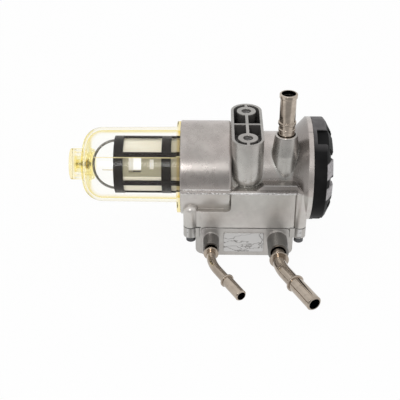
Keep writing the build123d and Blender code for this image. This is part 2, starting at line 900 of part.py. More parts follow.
# Cover screws: four socket-head screws from below
with BuildPart() as cover_screws:
    with BuildSketch(Plane.XY.offset(ear_bottom_z - screw_head_height)):
        with Locations(*screw_spots):
            Circle(screw_head_radius)
    extrude(amount=screw_head_height)
    chamfer(cover_screws.edges().group_by(Axis.Z)[0], screw_head_edge)
    with BuildSketch(Plane.XY.offset(ear_bottom_z)):
        with Locations(*screw_spots):
            Circle(screw_radius)
    extrude(amount=ear_height + gasket_thickness + screw_thread_depth - screw_tip_space)
    with BuildSketch(Plane.XY.offset(ear_bottom_z - screw_head_height)):
        with Locations(*screw_spots):
            RegularPolygon(screw_socket_radius, 6)
    extrude(amount=screw_socket_depth, mode=Mode.SUBTRACT)
finish(cover_screws, "cover_screws")

# Hose nipple: a turned steel stub with a hose bead at its top, sealed in the boss by an o-ring
with BuildPart() as hose_nipple:
    with BuildSketch(Plane(origin=(nipple_x, nipple_y, axis_z), x_dir=(1, 0, 0), z_dir=(0, -1, 0))):
        with Locations((0, (nipple_boss_top_up - nipple_seat_depth + nipple_top_up) / 2)):
            Rectangle(2 * nipple_radius, nipple_top_up - nipple_boss_top_up + nipple_seat_depth)
        with Locations((0, nipple_boss_top_up - (nipple_seat_depth + nipple_hub_setback) / 2)):
            Rectangle(2 * nipple_hub_radius, nipple_seat_depth - nipple_hub_setback)
        with Locations((0, nipple_stop_up + nipple_stop_length / 2)):
            RectangleRounded(2 * nipple_stop_radius, nipple_stop_length, bead_round)
        with Locations((0, nipple_low_bead_up + nipple_low_bead_length / 2)):
            RectangleRounded(2 * nipple_bead_radius, nipple_low_bead_length, bead_round)
        with Locations((0, nipple_top_up - nipple_top_bead_length / 2)):
            RectangleRounded(2 * nipple_bead_radius, nipple_top_bead_length, bead_round)
        with Locations((0, nipple_o_ring_up)):
            Rectangle(4 * nipple_hub_radius, o_ring_groove, mode=Mode.SUBTRACT)
            Rectangle(2 * (nipple_seat_radius - 2 * small_o_ring_section - 2 * o_ring_gap), o_ring_groove)
        with Locations((-nipple_bead_radius, (nipple_top_up + nipple_boss_top_up) / 2)):
            Rectangle(2 * nipple_bead_radius, 4 * nipple_top_up, mode=Mode.SUBTRACT)
        with Locations((0, nipple_top_up)):
            Rectangle(2 * nipple_bore, 4 * nipple_top_up, mode=Mode.SUBTRACT)
            Rectangle(2 * nipple_mouth_bore, 2 * nipple_mouth_depth, mode=Mode.SUBTRACT)
    revolve(axis=Axis((nipple_x, nipple_y, 0), (0, 0, 1)))
finish(hose_nipple, "hose_nipple")

nipple_o_ring = o_ring((nipple_x, nipple_y, axis_z + nipple_o_ring_up), (0, 0, 1),
                       nipple_seat_radius - o_ring_gap - small_o_ring_section, small_o_ring_section)
finish(nipple_o_ring, "nipple_o_ring")


# A bent steel tube: an insert with an o-ring groove, a stop bead, a bend and a quick-connect end
def bent_tube(x, insert_y, insert_radius, groove_y, groove_radius, tube_radius, first_bead_y, bead_radius,
              corner_y, turn, bend_radius, elbow_length, end_length, end_radius, end_bore):
    heading = (sin(radians(turn)), -cos(radians(turn)), 0)
    corner = Vector(x, corner_y, tube_z)
    end_start = corner + Vector(*heading) * elbow_length
    end_plane = Plane(origin=end_start, z_dir=heading)
    with BuildPart() as tube:
        with BuildLine(Plane.XY.offset(tube_z)) as path:
            FilletPolyline((x, insert_y), (x, corner_y), (end_start.X, end_start.Y), radius=bend_radius)
        with BuildSketch(Plane(origin=(x, insert_y, tube_z), z_dir=(0, -1, 0))):
            Circle(tube_radius)
        sweep(path=path.line)
        with BuildSketch(Plane(origin=(x, insert_y, tube_z), z_dir=(0, -1, 0))):
            Circle(insert_radius)
        extrude(amount=insert_y - groove_y + o_ring_groove)
        with BuildSketch(Plane(origin=(x, groove_y + o_ring_groove / 2, tube_z), z_dir=(0, -1, 0))):
            Circle(insert_radius)
            Circle(groove_radius, mode=Mode.SUBTRACT)
        extrude(amount=o_ring_groove, mode=Mode.SUBTRACT)
        with BuildSketch(Plane(origin=(x, first_bead_y + bead_thickness / 2, tube_z), z_dir=(0, -1, 0))):
            Circle(bead_radius)
        bead = extrude(amount=bead_thickness)
        fillet(bead.edges().filter_by(GeomType.CIRCLE).group_by(SortBy.RADIUS)[-1], bead_round)
        with BuildSketch(end_plane):
            Circle(end_radius)
        stub = extrude(amount=end_length)
        chamfer(stub.faces().sort_by(Axis(end_start, heading))[-1].edges(), tube_end_chamfer)
        with BuildSketch(end_plane.offset(-bead_thickness / 2)):
            Circle(bead_radius - second_bead_step)
        ring = extrude(amount=bead_thickness)
        fillet(ring.edges().filter_by(GeomType.CIRCLE).group_by(SortBy.RADIUS)[-1], bead_round)
        with BuildSketch(Plane(origin=(x, insert_y, tube_z), z_dir=(0, -1, 0))):
            Circle(tube_radius - tube_wall)
        sweep(path=path.line, mode=Mode.SUBTRACT)
        with BuildSketch(end_plane):
            Circle(end_bore)
        extrude(amount=end_length, mode=Mode.SUBTRACT)
    return tube


small_insert_y = small_boss_mouth_y + small_mouth_depth - seat_gap
small_groove_y = small_boss_mouth_y + small_mouth_depth / 2
small_groove_radius = small_mouth_radius - 2 * small_o_ring_section - 2 * o_ring_gap
small_tube = bent_tube(small_boss_x, small_insert_y, small_mouth_radius - insert_fit, small_groove_y,
                       small_groove_radius, small_tube_radius, small_boss_mouth_y - small_bead_offset,
                       small_bead_radius, small_boss_mouth_y - small_bend_offset, small_turn_angle,
                       small_bend_radius, small_elbow_length, small_end_length, small_end_radius,
                       small_end_bore)
finish(small_tube, "small_tube")

large_insert_y = large_boss_mouth_y + large_mouth_depth - seat_gap
large_groove_y = large_boss_mouth_y + large_mouth_depth / 2
large_groove_radius = large_mouth_radius - 2 * small_o_ring_section - 2 * o_ring_gap
large_tube = bent_tube(large_boss_x, large_insert_y, large_mouth_radius - insert_fit, large_groove_y,
                       large_groove_radius, large_tube_radius, large_boss_mouth_y - large_bead_offset,
                       large_bead_radius, large_boss_mouth_y - large_bend_offset, large_turn_angle,
                       large_bend_radius, large_elbow_length, large_end_length, large_end_radius,
                       large_end_bore)
finish(large_tube, "large_tube")

# O-rings of the two tubes
with BuildPart() as tube_o_rings:
    add(o_ring((small_boss_x, small_groove_y, tube_z), (0, 1, 0),
               small_mouth_radius - o_ring_gap - small_o_ring_section, small_o_ring_section).part)
    add(o_ring((large_boss_x, large_groove_y, tube_z), (0, 1, 0),
               large_mouth_radius - o_ring_gap - small_o_ring_section, small_o_ring_section).part)
finish(tube_o_rings, "tube_o_rings")

# Filter cap: a moulded screw cap with a hollow threaded plug, three rim pockets and a ring of lugs
with BuildPart() as filter_cap:
    with BuildSketch(along_x()):
        with BuildLine():
            Polyline(
                (flange_face_x + cap_gap, 0),
                (flange_face_x + cap_gap, cap_radius),
                (cap_rim_end_x, cap_radius),
                (cap_shoulder_x, cap_shoulder_radius),
                (cap_crown_x, cap_crown_radius),
                (cap_crown_x, 0),
                close=True,
            )
        make_face()
    revolve(axis=filter_axis)
    fillet(filter_cap.edges().filter_by(GeomType.CIRCLE).sort_by(Axis.X)[1:3], cap_edge_round)
    x_tube(cap_plug_left_x, cap_rim_end_x, cap_thread_radius - cap_thread_clearance, 0)
    with BuildPart(mode=Mode.PRIVATE) as lugs:
        with BuildSketch(along_x()):
            with BuildLine():
                Polyline(
                    (cap_rim_end_x, lug_inner_radius),
                    (cap_rim_end_x, lug_foot_radius),
                    (cap_shoulder_x, lug_foot_radius),
                    (lug_end_x, lug_top_radius),
                    (lug_end_x, lug_inner_radius),
                    close=True,
                )
            make_face()
        revolve(axis=filter_axis)
        with BuildSketch(across_x(cap_rim_end_x)):
            for lug in range(lug_count):
                ring_sector(lug_inner_radius - cut_overrun, lug_foot_radius + cut_overrun,
                            lug_first_angle + (lug + 0.5) * lug_pitch_angle, lug_pitch_angle - lug_arc)
        extrude(amount=lug_end_x - cap_rim_end_x, mode=Mode.SUBTRACT)
    add(lugs.part)
    with BuildSketch(across_x(cap_notch_start_x)):
        for notch in range(cap_notches):
            notch_angle = cap_notch_angle + notch * 360 / cap_notches
            with Locations((cap_radius * cos(radians(notch_angle)), cap_radius * sin(radians(notch_angle)))):
                Rectangle(2 * cap_notch_depth, cap_notch_width, rotation=notch_angle)
    extrude(amount=lug_end_x - cap_notch_start_x, mode=Mode.SUBTRACT)
    x_tube(cap_crown_x - cap_socket_depth, cap_crown_x + cut_overrun, cap_socket_radius, 0,
           mode=Mode.SUBTRACT)
    with BuildSketch(along_x()):
        with BuildLine():
            Polyline(
                (cap_plug_left_x, 0),
                (cap_plug_left_x, cap_thread_radius - cap_thread_clearance - cap_wall),
                (cap_rim_end_x - cap_wall, cap_thread_radius - cap_thread_clearance - cap_wall),
                (cap_crown_x - cap_wall - cap_roof_step, cap_crown_radius),
                (cap_crown_x - cap_wall - cap_roof_step, cap_socket_radius + cap_wall),
                (cap_crown_x - cap_socket_depth - cap_wall, cap_socket_radius + cap_wall),
                (cap_crown_x - cap_socket_depth - cap_wall, 0),
                close=True,
            )
        make_face()
    revolve(axis=filter_axis, mode=Mode.SUBTRACT)
    x_tube(cap_collar_left_x, cap_crown_x - cap_socket_depth - wall_overlap,
           filter_neck_radius + seat_gap + cap_collar_wall, filter_neck_radius + seat_gap)
finish(filter_cap, "filter_cap")

cap_o_ring = o_ring((flange_face_x - seal_recess_depth + o_ring_gap + o_ring_section, 0, axis_z), (1, 0, 0),
                    (cap_thread_radius - cap_thread_clearance + seal_recess_radius) / 2, o_ring_section)
finish(cap_o_ring, "cap_o_ring")

# Standpipe: the aluminium tube that carries clean fuel out of the element
with BuildPart() as standpipe:
    x_tube(standpipe_left_x, standpipe_end_x, standpipe_radius, standpipe_bore)
finish(standpipe, "standpipe")

# Filter core: a perforated tube inside the pleats
with BuildPart() as filter_core:
    x_tube(element_left_x + end_disc_thickness, element_right_x - end_disc_thickness, element_core_radius,
           element_core_radius - element_core_wall)
    for row in range(core_window_rows):
        row_x = element_left_x + end_disc_thickness + (row + 0.5) * core_window_pitch
        with BuildSketch(Plane(origin=(row_x, 0, axis_z), x_dir=(1, 0, 0), z_dir=(0, 0, 1))):
            Rectangle(core_window_length, core_window_width)
        extrude(amount=element_core_radius, both=True, mode=Mode.SUBTRACT)
        with BuildSketch(Plane(origin=(row_x, 0, axis_z), x_dir=(1, 0, 0), z_dir=(0, 1, 0))):
            Rectangle(core_window_length, core_window_width)
        extrude(amount=element_core_radius, both=True, mode=Mode.SUBTRACT)
finish(filter_core, "filter_core")


# Corners of a pleated ring: outer and inner corners take turns
def pleat_corners(outer, inner):
    corners = []
    for corner in range(2 * pleat_count):
        angle = pi * corner / pleat_count
        reach = inner if corner % 2 else outer
        corners.append((reach * cos(angle), reach * sin(angle)))
    return corners


# Filter media: one pleated sheet of paper, closed to a ring
with BuildPart() as filter_media:
    with BuildSketch(across_x(element_left_x + end_disc_thickness)):
        with BuildLine():
            Polyline(*pleat_corners(element_outer_radius - pleat_inset, element_inner_radius), close=True)
        make_face()
        with BuildLine():
            Polyline(*pleat_corners(element_outer_radius - pleat_inset - pleat_thickness,
                                    element_inner_radius - pleat_thickness), close=True)
        make_face(mode=Mode.SUBTRACT)
    extrude(amount=element_right_x - element_left_x - 2 * end_disc_thickness)
finish(filter_media, "filter_media")

# Filter end discs: the open one slides on the standpipe, the closed one has the neck for the cap
with BuildPart() as filter_end_left:
    x_tube(element_left_x, element_left_x + end_disc_thickness, element_outer_radius,
           standpipe_radius + grommet_fit)
    x_tube(element_left_x - grommet_length, element_left_x, grommet_radius, standpipe_radius + grommet_fit)
finish(filter_end_left, "filter_end_left")

with BuildPart() as filter_end_right:
    x_tube(element_right_x - end_disc_thickness, element_right_x, element_outer_radius, 0)
    x_tube(element_right_x, filter_neck_end_x, filter_neck_radius, filter_neck_radius - filter_neck_wall)
finish(filter_end_right, "filter_end_right")


# Inside and outside of the water bowl: a straight barrel with a round end
def bowl_profile(start_x, inset):
    with BuildLine() as outline:
        wall_start = bowl_radius - inset
        wall_end = bowl_radius - bowl_draft - inset
        barrel = Line((start_x, wall_start), (bowl_end_x + bowl_end_length, wall_end))
        end_arc = TangentArc(barrel @ 1, (bowl_end_x + inset, bowl_end_radius), tangent=barrel % 1)
        Line(end_arc @ 1, (bowl_end_x + inset, 0))
        Line((bowl_end_x + inset, 0), (start_x, 0))
        Line((start_x, 0), (start_x, wall_start))
    make_face(outline.edges())


# Water bowl: clear moulding with a flange disc, a neck for the socket and a drain boss
with BuildPart() as bowl:
    with BuildSketch(along_x(0, bowl_z)):
        bowl_profile(bowl_top_x, 0)
    revolve(axis=bowl_axis)
    with BuildSketch(across_x(bowl_end_x + bowl_end_length, 0, bowl_z)):
        Rectangle(2 * (bowl_radius - bowl_draft + bowl_seam_proud), bowl_seam_width, rotation=bowl_seam_angle)
    extrude(amount=bowl_top_x - bowl_end_x - bowl_end_length)
    x_tube(bowl_top_x, left_face_x, bowl_flange_radius, 0)
    x_tube(left_face_x, left_face_x + bowl_neck_length, bowl_neck_radius, 0, z=bowl_z)
    x_tube(bowl_end_x - drain_neck_length, bowl_end_x, drain_neck_radius, 0, z=bowl_z)
    with BuildSketch(along_x(0, bowl_z)):
        bowl_profile(bowl_top_x, bowl_wall)
    revolve(axis=bowl_axis, mode=Mode.SUBTRACT)
    x_tube(bowl_top_x - cut_overrun, left_face_x + bowl_neck_length, bowl_neck_radius - bowl_wall, 0,
           z=bowl_z, mode=Mode.SUBTRACT)
    x_tube(left_face_x + bowl_seal_offset - bowl_seal_groove / 2,
           left_face_x + bowl_seal_offset + bowl_seal_groove / 2, bowl_neck_radius + cut_overrun,
           bowl_socket_radius - 2 * bowl_seal_section - 2 * o_ring_gap, z=bowl_z, mode=Mode.SUBTRACT)
    with BuildSketch(along_x(0, bowl_z)):
        with BuildLine():
            Polyline(
                (bowl_end_x + wall_overlap, 0),
                (bowl_end_x + wall_overlap, drain_boss_radius),
                (bowl_end_x + drain_boss_length, drain_boss_tip_radius),
                (bowl_end_x + drain_boss_length, drain_boss_tip_radius - bowl_wall),
                (bowl_end_x + bowl_wall, drain_boss_tip_radius - bowl_wall),
                (bowl_end_x + bowl_wall, drain_hub_radius),
                (bowl_end_x + drain_hub_length, drain_hub_tip_radius),
                (bowl_end_x + drain_hub_length, 0),
                close=True,
            )
        make_face()
    revolve(axis=bowl_axis)
    x_tube(bowl_end_x - drain_neck_length - cut_overrun, drain_seat_x, drain_bore, 0, z=bowl_z,
           mode=Mode.SUBTRACT)
    x_tube(drain_seat_x - cut_overrun, bowl_end_x + drain_hub_length + cut_overrun, drain_seat_bore, 0,
           z=bowl_z, mode=Mode.SUBTRACT)
finish(bowl, "bowl")

bowl_seal = o_ring((left_face_x + bowl_seal_offset, 0, bowl_z), (1, 0, 0),
                   bowl_socket_radius - o_ring_gap - bowl_seal_section, bowl_seal_section)
finish(bowl_seal, "bowl_seal")

# Drain knob: a moulded cup with finger grips that turns on the bowl's drain neck
with BuildPart() as drain_knob:
    x_tube(knob_end_x, bowl_end_x - knob_gap, knob_radius, 0, z=bowl_z)
    fillet(drain_knob.edges().filter_by(GeomType.CIRCLE).sort_by(Axis.X)[0], knob_edge_round)
    with BuildSketch(across_x(knob_end_x + knob_disc, 0, bowl_z)):
        with PolarLocations(knob_radius + knob_grip_radius / 2, knob_grips):
            Circle(knob_grip_radius)
    extrude(amount=bowl_end_x - knob_end_x, mode=Mode.SUBTRACT)
    x_tube(knob_end_x + knob_disc, bowl_end_x, knob_inner_radius, knob_thread_ring, z=bowl_z,
           mode=Mode.SUBTRACT)
    x_tube(knob_end_x + knob_disc, bowl_end_x, drain_neck_radius + knob_bore_clearance, 0, z=bowl_z,
           mode=Mode.SUBTRACT)
    x_tube(knob_end_x + knob_disc, knob_end_x + knob_disc + knob_hub_length, drain_bore - seat_gap,
           stem_radius + stem_hinge_fit, z=bowl_z)
finish(drain_knob, "drain_knob")

# Drain stem: a turned pin with a sealing head
with BuildPart() as drain_stem:
    x_tube(knob_end_x + knob_disc + seat_gap, bowl_end_x + stem_tip_offset, stem_radius, 0, z=bowl_z)
    x_tube(drain_seat_x - seat_gap - stem_head_length, drain_seat_x - seat_gap, stem_head_radius, 0, z=bowl_z)
    x_tube(stem_seal_x - o_ring_groove / 2, stem_seal_x + o_ring_groove / 2, stem_head_radius + cut_overrun,
           drain_bore - 2 * small_o_ring_section - 2 * o_ring_gap, z=bowl_z, mode=Mode.SUBTRACT)
finish(drain_stem, "drain_stem")

drain_o_ring = o_ring((stem_seal_x, 0, bowl_z), (1, 0, 0), drain_bore - o_ring_gap - small_o_ring_section,
                      small_o_ring_section)
finish(drain_o_ring, "drain_o_ring")

# Strainer cage: two black bands joined by ribs that run on to the housing
with BuildPart() as strainer_cage:
    x_tube(cage_left_x, cage_left_x + cage_band_width, cage_radius, cage_radius - cage_band_wall, z=bowl_z)
    x_tube(cage_right_x - cage_band_width, cage_right_x, cage_radius, cage_radius - cage_band_wall, z=bowl_z)
    with BuildSketch(across_x(cage_left_x + cage_band_width / 2, 0, bowl_z)):
        for rib in range(cage_ribs):
            ring_sector(cage_radius - cage_band_wall, cage_radius, cage_rib_angle + rib * 360 / cage_ribs,
                        cage_rib_arc)
    extrude(amount=left_face_x + bowl_socket_depth - seat_gap - cage_left_x - cage_band_width / 2)
finish(strainer_cage, "strainer_cage")

# Strainer screen: a thin moulded tube with windows, and the collar that seats in the housing
with BuildPart() as strainer_screen:
    x_tube(cage_left_x + screen_inset, left_face_x + bowl_socket_depth + collar_wall, screen_radius,
           screen_radius - screen_wall, z=bowl_z)
    x_tube(left_face_x + bowl_socket_depth + seat_gap, collar_end_x - seat_gap,
           collar_socket_radius - collar_fit, screen_radius - screen_wall, z=bowl_z)
    for window in range(screen_windows):
        window_angle = screen_window_angle + window * 360 / screen_windows
        with BuildSketch(across_x(cage_left_x + screen_window_offset, 0, bowl_z)):
            ring_sector(screen_radius - screen_wall - cut_overrun, screen_radius + cut_overrun, window_angle,
                        screen_window_arc)
        extrude(amount=screen_window_length, mode=Mode.SUBTRACT)
        with BuildSketch(across_x(cage_left_x + screen_slot_offset, 0, bowl_z)):
            ring_sector(screen_radius - screen_wall - cut_overrun, screen_radius + cut_overrun, window_angle,
                        screen_slot_arc)
        extrude(amount=screen_slot_length, mode=Mode.SUBTRACT)
finish(strainer_screen, "strainer_screen")

# Wire hoop: one bent wire with both feet in the left band
with BuildPart() as wire_hoop:
    hoop_side = (0, cos(radians(hoop_angle)), sin(radians(hoop_angle)))
    hoop_plane = Plane(origin=(0, 0, bowl_z), x_dir=(-1, 0, 0),
                       z_dir=Vector(1, 0, 0).cross(Vector(*hoop_side)))
    hoop_foot_reach = -cage_left_x - hoop_foot_depth
    hoop_center_reach = -hoop_apex_x - hoop_radius
    with BuildLine(hoop_plane) as hoop_path:
        near_side = Line((hoop_foot_reach, hoop_radius), (hoop_center_reach, hoop_radius))
        far_side = Line((hoop_center_reach, -hoop_radius), (hoop_foot_reach, -hoop_radius))
        TangentArc(near_side @ 1, far_side @ 0, tangent=near_side % 1)
    with BuildSketch(Plane(origin=hoop_path.wires()[0] @ 0, z_dir=(-1, 0, 0))):
        Circle(hoop_wire_radius)
    sweep(path=hoop_path.wires()[0])
finish(wire_hoop, "wire_hoop")


# Pump and motor pieces turn about the motor axis
def motor_tube(left_x, right_x, outer, inner, mode=Mode.ADD):
    x_tube(left_x, right_x, outer, inner, motor_y, motor_z, mode)


inner_radius = case_radius - case_wall - stack_fit

# Motor case: a drawn steel can around the pump plates and the magnets, with inlet windows
with BuildPart() as motor_case:
    motor_tube(discharge_right_x, case_right_x, case_radius, case_radius - case_wall)
    with BuildSketch(across_x(case_window_x - case_window_width / 2, motor_y, motor_z)):
        for window in range(case_windows):
            ring_sector(inner_radius - cut_overrun, case_radius + cut_overrun,
                        case_window_angle + window * 360 / case_windows, case_window_arc)
    extrude(amount=case_window_width, mode=Mode.SUBTRACT)
finish(motor_case, "motor_case")

# Discharge end: the pump plate with the outlet spigot, the discharge port and the relief valve bore
with BuildPart() as discharge_end:
    motor_tube(discharge_left_x, discharge_right_x, case_radius, 0)
    with BuildSketch(across_y(spigot_tip_y, small_boss_x, tube_z)):
        Circle(spigot_radius)
    extrude(amount=motor_y - spigot_tip_y - case_radius / 2)
    motor_tube(discharge_right_x - bearing_length, discharge_right_x, bearing_radius + shaft_seat_gap, 0,
               Mode.SUBTRACT)
    motor_tube(shaft_left_x - seat_gap, discharge_right_x, shaft_radius + seat_gap, 0, Mode.SUBTRACT)
    with BuildSketch(across_x(discharge_right_x - discharge_port_depth, motor_y, motor_z)):
        ring_sector(port_inner_radius, port_outer_radius, -90, port_arc)
    extrude(amount=discharge_port_depth, mode=Mode.SUBTRACT)
    with BuildSketch(across_y(spigot_tip_y, small_boss_x, tube_z)):
        Circle(spigot_bore)
    extrude(amount=motor_y - spigot_drilling_setback - spigot_tip_y, mode=Mode.SUBTRACT)
    with BuildSketch(across_x(small_boss_x - spigot_bore, motor_y, motor_z)):
        ring_sector(port_inner_radius, port_outer_radius, discharge_link_angle, discharge_link_arc)
    extrude(amount=discharge_right_x - small_boss_x + spigot_bore, mode=Mode.SUBTRACT)
    x_tube(discharge_left_x, relief_seat_x, relief_bore, 0, motor_y, motor_z - relief_drop, Mode.SUBTRACT)
    x_tube(relief_seat_x, discharge_right_x, relief_seat, 0, motor_y, motor_z - relief_drop, Mode.SUBTRACT)
    with BuildSketch(Plane(origin=(relief_seat_x - relief_side_hole, motor_y, motor_z - relief_drop),
                           x_dir=(1, 0, 0), z_dir=(0, 0, -1))):
        Circle(relief_side_hole)
    extrude(amount=case_radius, mode=Mode.SUBTRACT)
finish(discharge_end, "discharge_end")

# Relief valve: plug, spring and poppet in the discharge end
with BuildPart() as relief_plug:
    x_tube(discharge_left_x, discharge_left_x + relief_plug_length, relief_bore - shaft_seat_gap,
           relief_plug_vent, motor_y, motor_z - relief_drop)
finish(relief_plug, "relief_plug")

relief_back_x = relief_seat_x - valve_rest_gap - relief_poppet_length
with BuildPart() as relief_poppet:
    x_tube(relief_back_x, relief_seat_x - valve_rest_gap, relief_bore - poppet_fit, 0, motor_y,
           motor_z - relief_drop)
finish(relief_poppet, "relief_poppet")

relief_spring_start = discharge_left_x + relief_plug_length + spring_wire + spring_end_gap
relief_spring = coil_spring(
    (relief_spring_start, motor_y, motor_z - relief_drop), (1, 0, 0),
    relief_back_x - spring_wire - spring_end_gap - relief_spring_start, relief_coil_radius, spring_wire,
    relief_spring_turns)
finish(relief_spring, "relief_spring")

# Gerotor ring: the steel ring whose off-centre bore carries the outer rotor
with BuildPart() as gerotor_ring:
    motor_tube(discharge_right_x, rotor_set_right_x, inner_radius, 0)
    x_tube(discharge_right_x, rotor_set_right_x, gerotor_outer_radius + gerotor_bore_fit, 0,
           motor_y + gerotor_offset, motor_z, Mode.SUBTRACT)
finish(gerotor_ring, "gerotor_ring")

# Outer rotor: a ring whose round lobes stand inwards, one more than the inner rotor has
lobe_count = gerotor_teeth + 1
outer_root_radius = gerotor_center_radius - gerotor_lobe_radius + 2 * gerotor_offset + gerotor_tip_gap
with BuildPart() as outer_rotor:
    with BuildSketch(across_x(discharge_right_x + gerotor_side_gap, motor_y + gerotor_offset, motor_z)):
        with BuildSketch(mode=Mode.PRIVATE) as rotor_opening:
            Circle(outer_root_radius)
            with PolarLocations(gerotor_center_radius, lobe_count):
                Circle(gerotor_lobe_radius, mode=Mode.SUBTRACT)
        Circle(gerotor_outer_radius)
        add(rotor_opening.sketch, mode=Mode.SUBTRACT)
    extrude(amount=rotor_set_right_x - discharge_right_x - 2 * gerotor_side_gap)
finish(outer_rotor, "outer_rotor")


# Flank of the inner rotor: the curve that the outer rotor's lobes leave as both rotors turn
def inner_rotor_points():
    lobe_reach = gerotor_lobe_radius + gerotor_tip_gap
    point_count = gerotor_teeth * gerotor_points_per_tooth
    points = []
    for index in range(point_count):
        t = 2 * pi * index / point_count
        center_x = gerotor_center_radius * cos(t) + gerotor_offset * cos(lobe_count * t)
        center_y = gerotor_center_radius * sin(t) + gerotor_offset * sin(lobe_count * t)
        slope_x = -gerotor_center_radius * sin(t) - lobe_count * gerotor_offset * sin(lobe_count * t)
        slope_y = gerotor_center_radius * cos(t) + lobe_count * gerotor_offset * cos(lobe_count * t)
        slope = sqrt(slope_x**2 + slope_y**2)
        points.append((center_x - lobe_reach * slope_y / slope, center_y + lobe_reach * slope_x / slope))
    return points


# Inner rotor: sits on the shaft and turns inside the outer rotor
with BuildPart() as inner_rotor:
    with BuildSketch(across_x(discharge_right_x + gerotor_side_gap, motor_y, motor_z)):
        with BuildLine():
            Spline(*inner_rotor_points(), periodic=True)
        make_face()
        Circle(shaft_radius + shaft_seat_gap, mode=Mode.SUBTRACT)
    extrude(amount=rotor_set_right_x - discharge_right_x - 2 * gerotor_side_gap)
finish(inner_rotor, "inner_rotor")

# Inlet plate: closes the rotor set and has the inlet port
with BuildPart() as inlet_plate:
    motor_tube(rotor_set_right_x, inlet_plate_right_x, inner_radius, shaft_radius + seat_gap)
    with BuildSketch(across_x(rotor_set_right_x, motor_y, motor_z)):
        ring_sector(port_inner_radius, port_outer_radius, 90, port_arc)
    extrude(amount=inlet_plate_right_x - rotor_set_right_x, mode=Mode.SUBTRACT)
finish(inlet_plate, "inlet_plate")

# Magnets: two arcs against the wall of the case
with BuildPart() as magnets:
    with BuildSketch(across_x(magnet_left_x, motor_y, motor_z)):
        for side in (0, 180):
            ring_sector(magnet_inner_radius, inner_radius, side, magnet_arc_angle)
    extrude(amount=magnet_right_x - magnet_left_x)
finish(magnets, "magnets")

# Motor shaft: one ground shaft for the armature and the inner rotor
with BuildPart() as motor_shaft:
    motor_tube(shaft_left_x, shaft_right_x, shaft_radius, 0)
finish(motor_shaft, "motor_shaft")

# Armature core: a stack of slotted steel sheets
with BuildPart() as armature_core:
    with BuildSketch(across_x(core_left_x, motor_y, motor_z)):
        Circle(core_radius)
        with PolarLocations((core_radius + core_slot_bottom + cut_overrun) / 2, core_slots):
            Rectangle(core_radius - core_slot_bottom + cut_overrun, core_slot_width, mode=Mode.SUBTRACT)
        Circle(shaft_radius + shaft_seat_gap, mode=Mode.SUBTRACT)
    extrude(amount=core_right_x - core_left_x)
finish(armature_core, "armature_core")

# Windings: enamelled wire in the slots, with a round head of wire at both ends
with BuildPart() as windings:
    with BuildSketch(across_x(core_left_x - winding_overhang, motor_y, motor_z)):
        with PolarLocations((winding_radius + core_slot_bottom + winding_gap) / 2, core_slots):
            Rectangle(winding_radius - core_slot_bottom - winding_gap, core_slot_width - 2 * winding_gap)
    extrude(amount=core_right_x - core_left_x + 2 * winding_overhang)
    motor_tube(core_left_x - winding_overhang, core_left_x - winding_gap, winding_radius,
               shaft_radius + shaft_seat_gap)
    motor_tube(core_right_x + winding_gap, core_right_x + winding_overhang, winding_radius,
               shaft_radius + shaft_seat_gap)
finish(windings, "windings")

# Commutator: a ring of copper bars on the shaft
with BuildPart() as commutator:
    with BuildSketch(across_x(commutator_left_x, motor_y, motor_z)):
        Circle(commutator_radius)
        with PolarLocations(commutator_radius, commutator_bars):
            Rectangle(2 * commutator_gap, commutator_gap, mode=Mode.SUBTRACT)
        Circle(shaft_radius + shaft_seat_gap, mode=Mode.SUBTRACT)
    extrude(amount=commutator_length)
finish(commutator, "commutator")

# Brushes: two carbon blocks, above and below the commutator
brush_x = commutator_left_x + commutator_length / 2
brush_inner_radius = commutator_radius + brush_gap
with BuildPart() as brushes:
    for side in (-1, 1):
        with BuildSketch(Plane.XY.offset(motor_z + side * (brush_inner_radius + brush_length / 2))):
            with Locations((brush_x, motor_y)):
                Rectangle(brush_width, brush_thickness)
        extrude(amount=brush_length / 2, both=True)
finish(brushes, "brushes")

# Brush springs: a light coil behind each brush
brush_spring_start = brush_inner_radius + brush_length + brush_wire + spring_end_gap
brush_spring_end = inner_radius - brush_lid - brush_wire - spring_end_gap
with BuildPart() as brush_springs:
    for side in (-1, 1):
        add(coil_spring(
            (brush_x, motor_y, motor_z + side * brush_spring_start), (0, 0, side),
            brush_spring_end - brush_spring_start, brush_coil_radius, brush_wire, brush_spring_turns).part)
finish(brush_springs, "brush_springs")

# Brush cap: the moulded end of the motor with the brush guides and the shaft seat
guide_width = brush_width + 2 * brush_gap
guide_thickness = brush_thickness + 2 * brush_gap
guide_left_x = brush_x - guide_width / 2 - brush_guide_wall
with BuildPart() as brush_cap:
    motor_tube(brush_cap_left_x, case_right_x, inner_radius, 0)
    motor_tube(case_right_x, brush_cap_right_x, case_radius, 0)
    for side in (-1, 1):
        with BuildSketch(Plane.XY.offset(motor_z + side * (brush_inner_radius + brush_guide_lift))):
            with Locations(((guide_left_x + brush_cap_left_x + wall_overlap) / 2, motor_y)):
                Rectangle(brush_cap_left_x + wall_overlap - guide_left_x,
                          guide_thickness + 2 * brush_guide_wall)
        extrude(amount=side * (inner_radius - brush_inner_radius - brush_guide_lift - brush_guide_setback))
        with BuildSketch(Plane.XY.offset(motor_z + side * brush_inner_radius)):
            with Locations((brush_x, motor_y)):
                Rectangle(guide_width, guide_thickness)
        extrude(amount=side * (inner_radius - brush_lid - brush_inner_radius), mode=Mode.SUBTRACT)
    motor_tube(brush_cap_left_x, shaft_right_x + seat_gap, shaft_radius + seat_gap, 0, Mode.SUBTRACT)
    motor_tube(brush_cap_left_x, brush_cap_left_x + bearing_length, bearing_radius + shaft_seat_gap, 0,
               Mode.SUBTRACT)
finish(brush_cap, "brush_cap")

# Shaft bushes: two sintered bronze rings
with BuildPart() as shaft_bushes:
    motor_tube(discharge_right_x - bearing_length, discharge_right_x, bearing_radius,
               shaft_radius + shaft_fit)
    motor_tube(brush_cap_left_x, brush_cap_left_x + bearing_length, bearing_radius, shaft_radius + shaft_fit)
finish(shaft_bushes, "shaft_bushes")

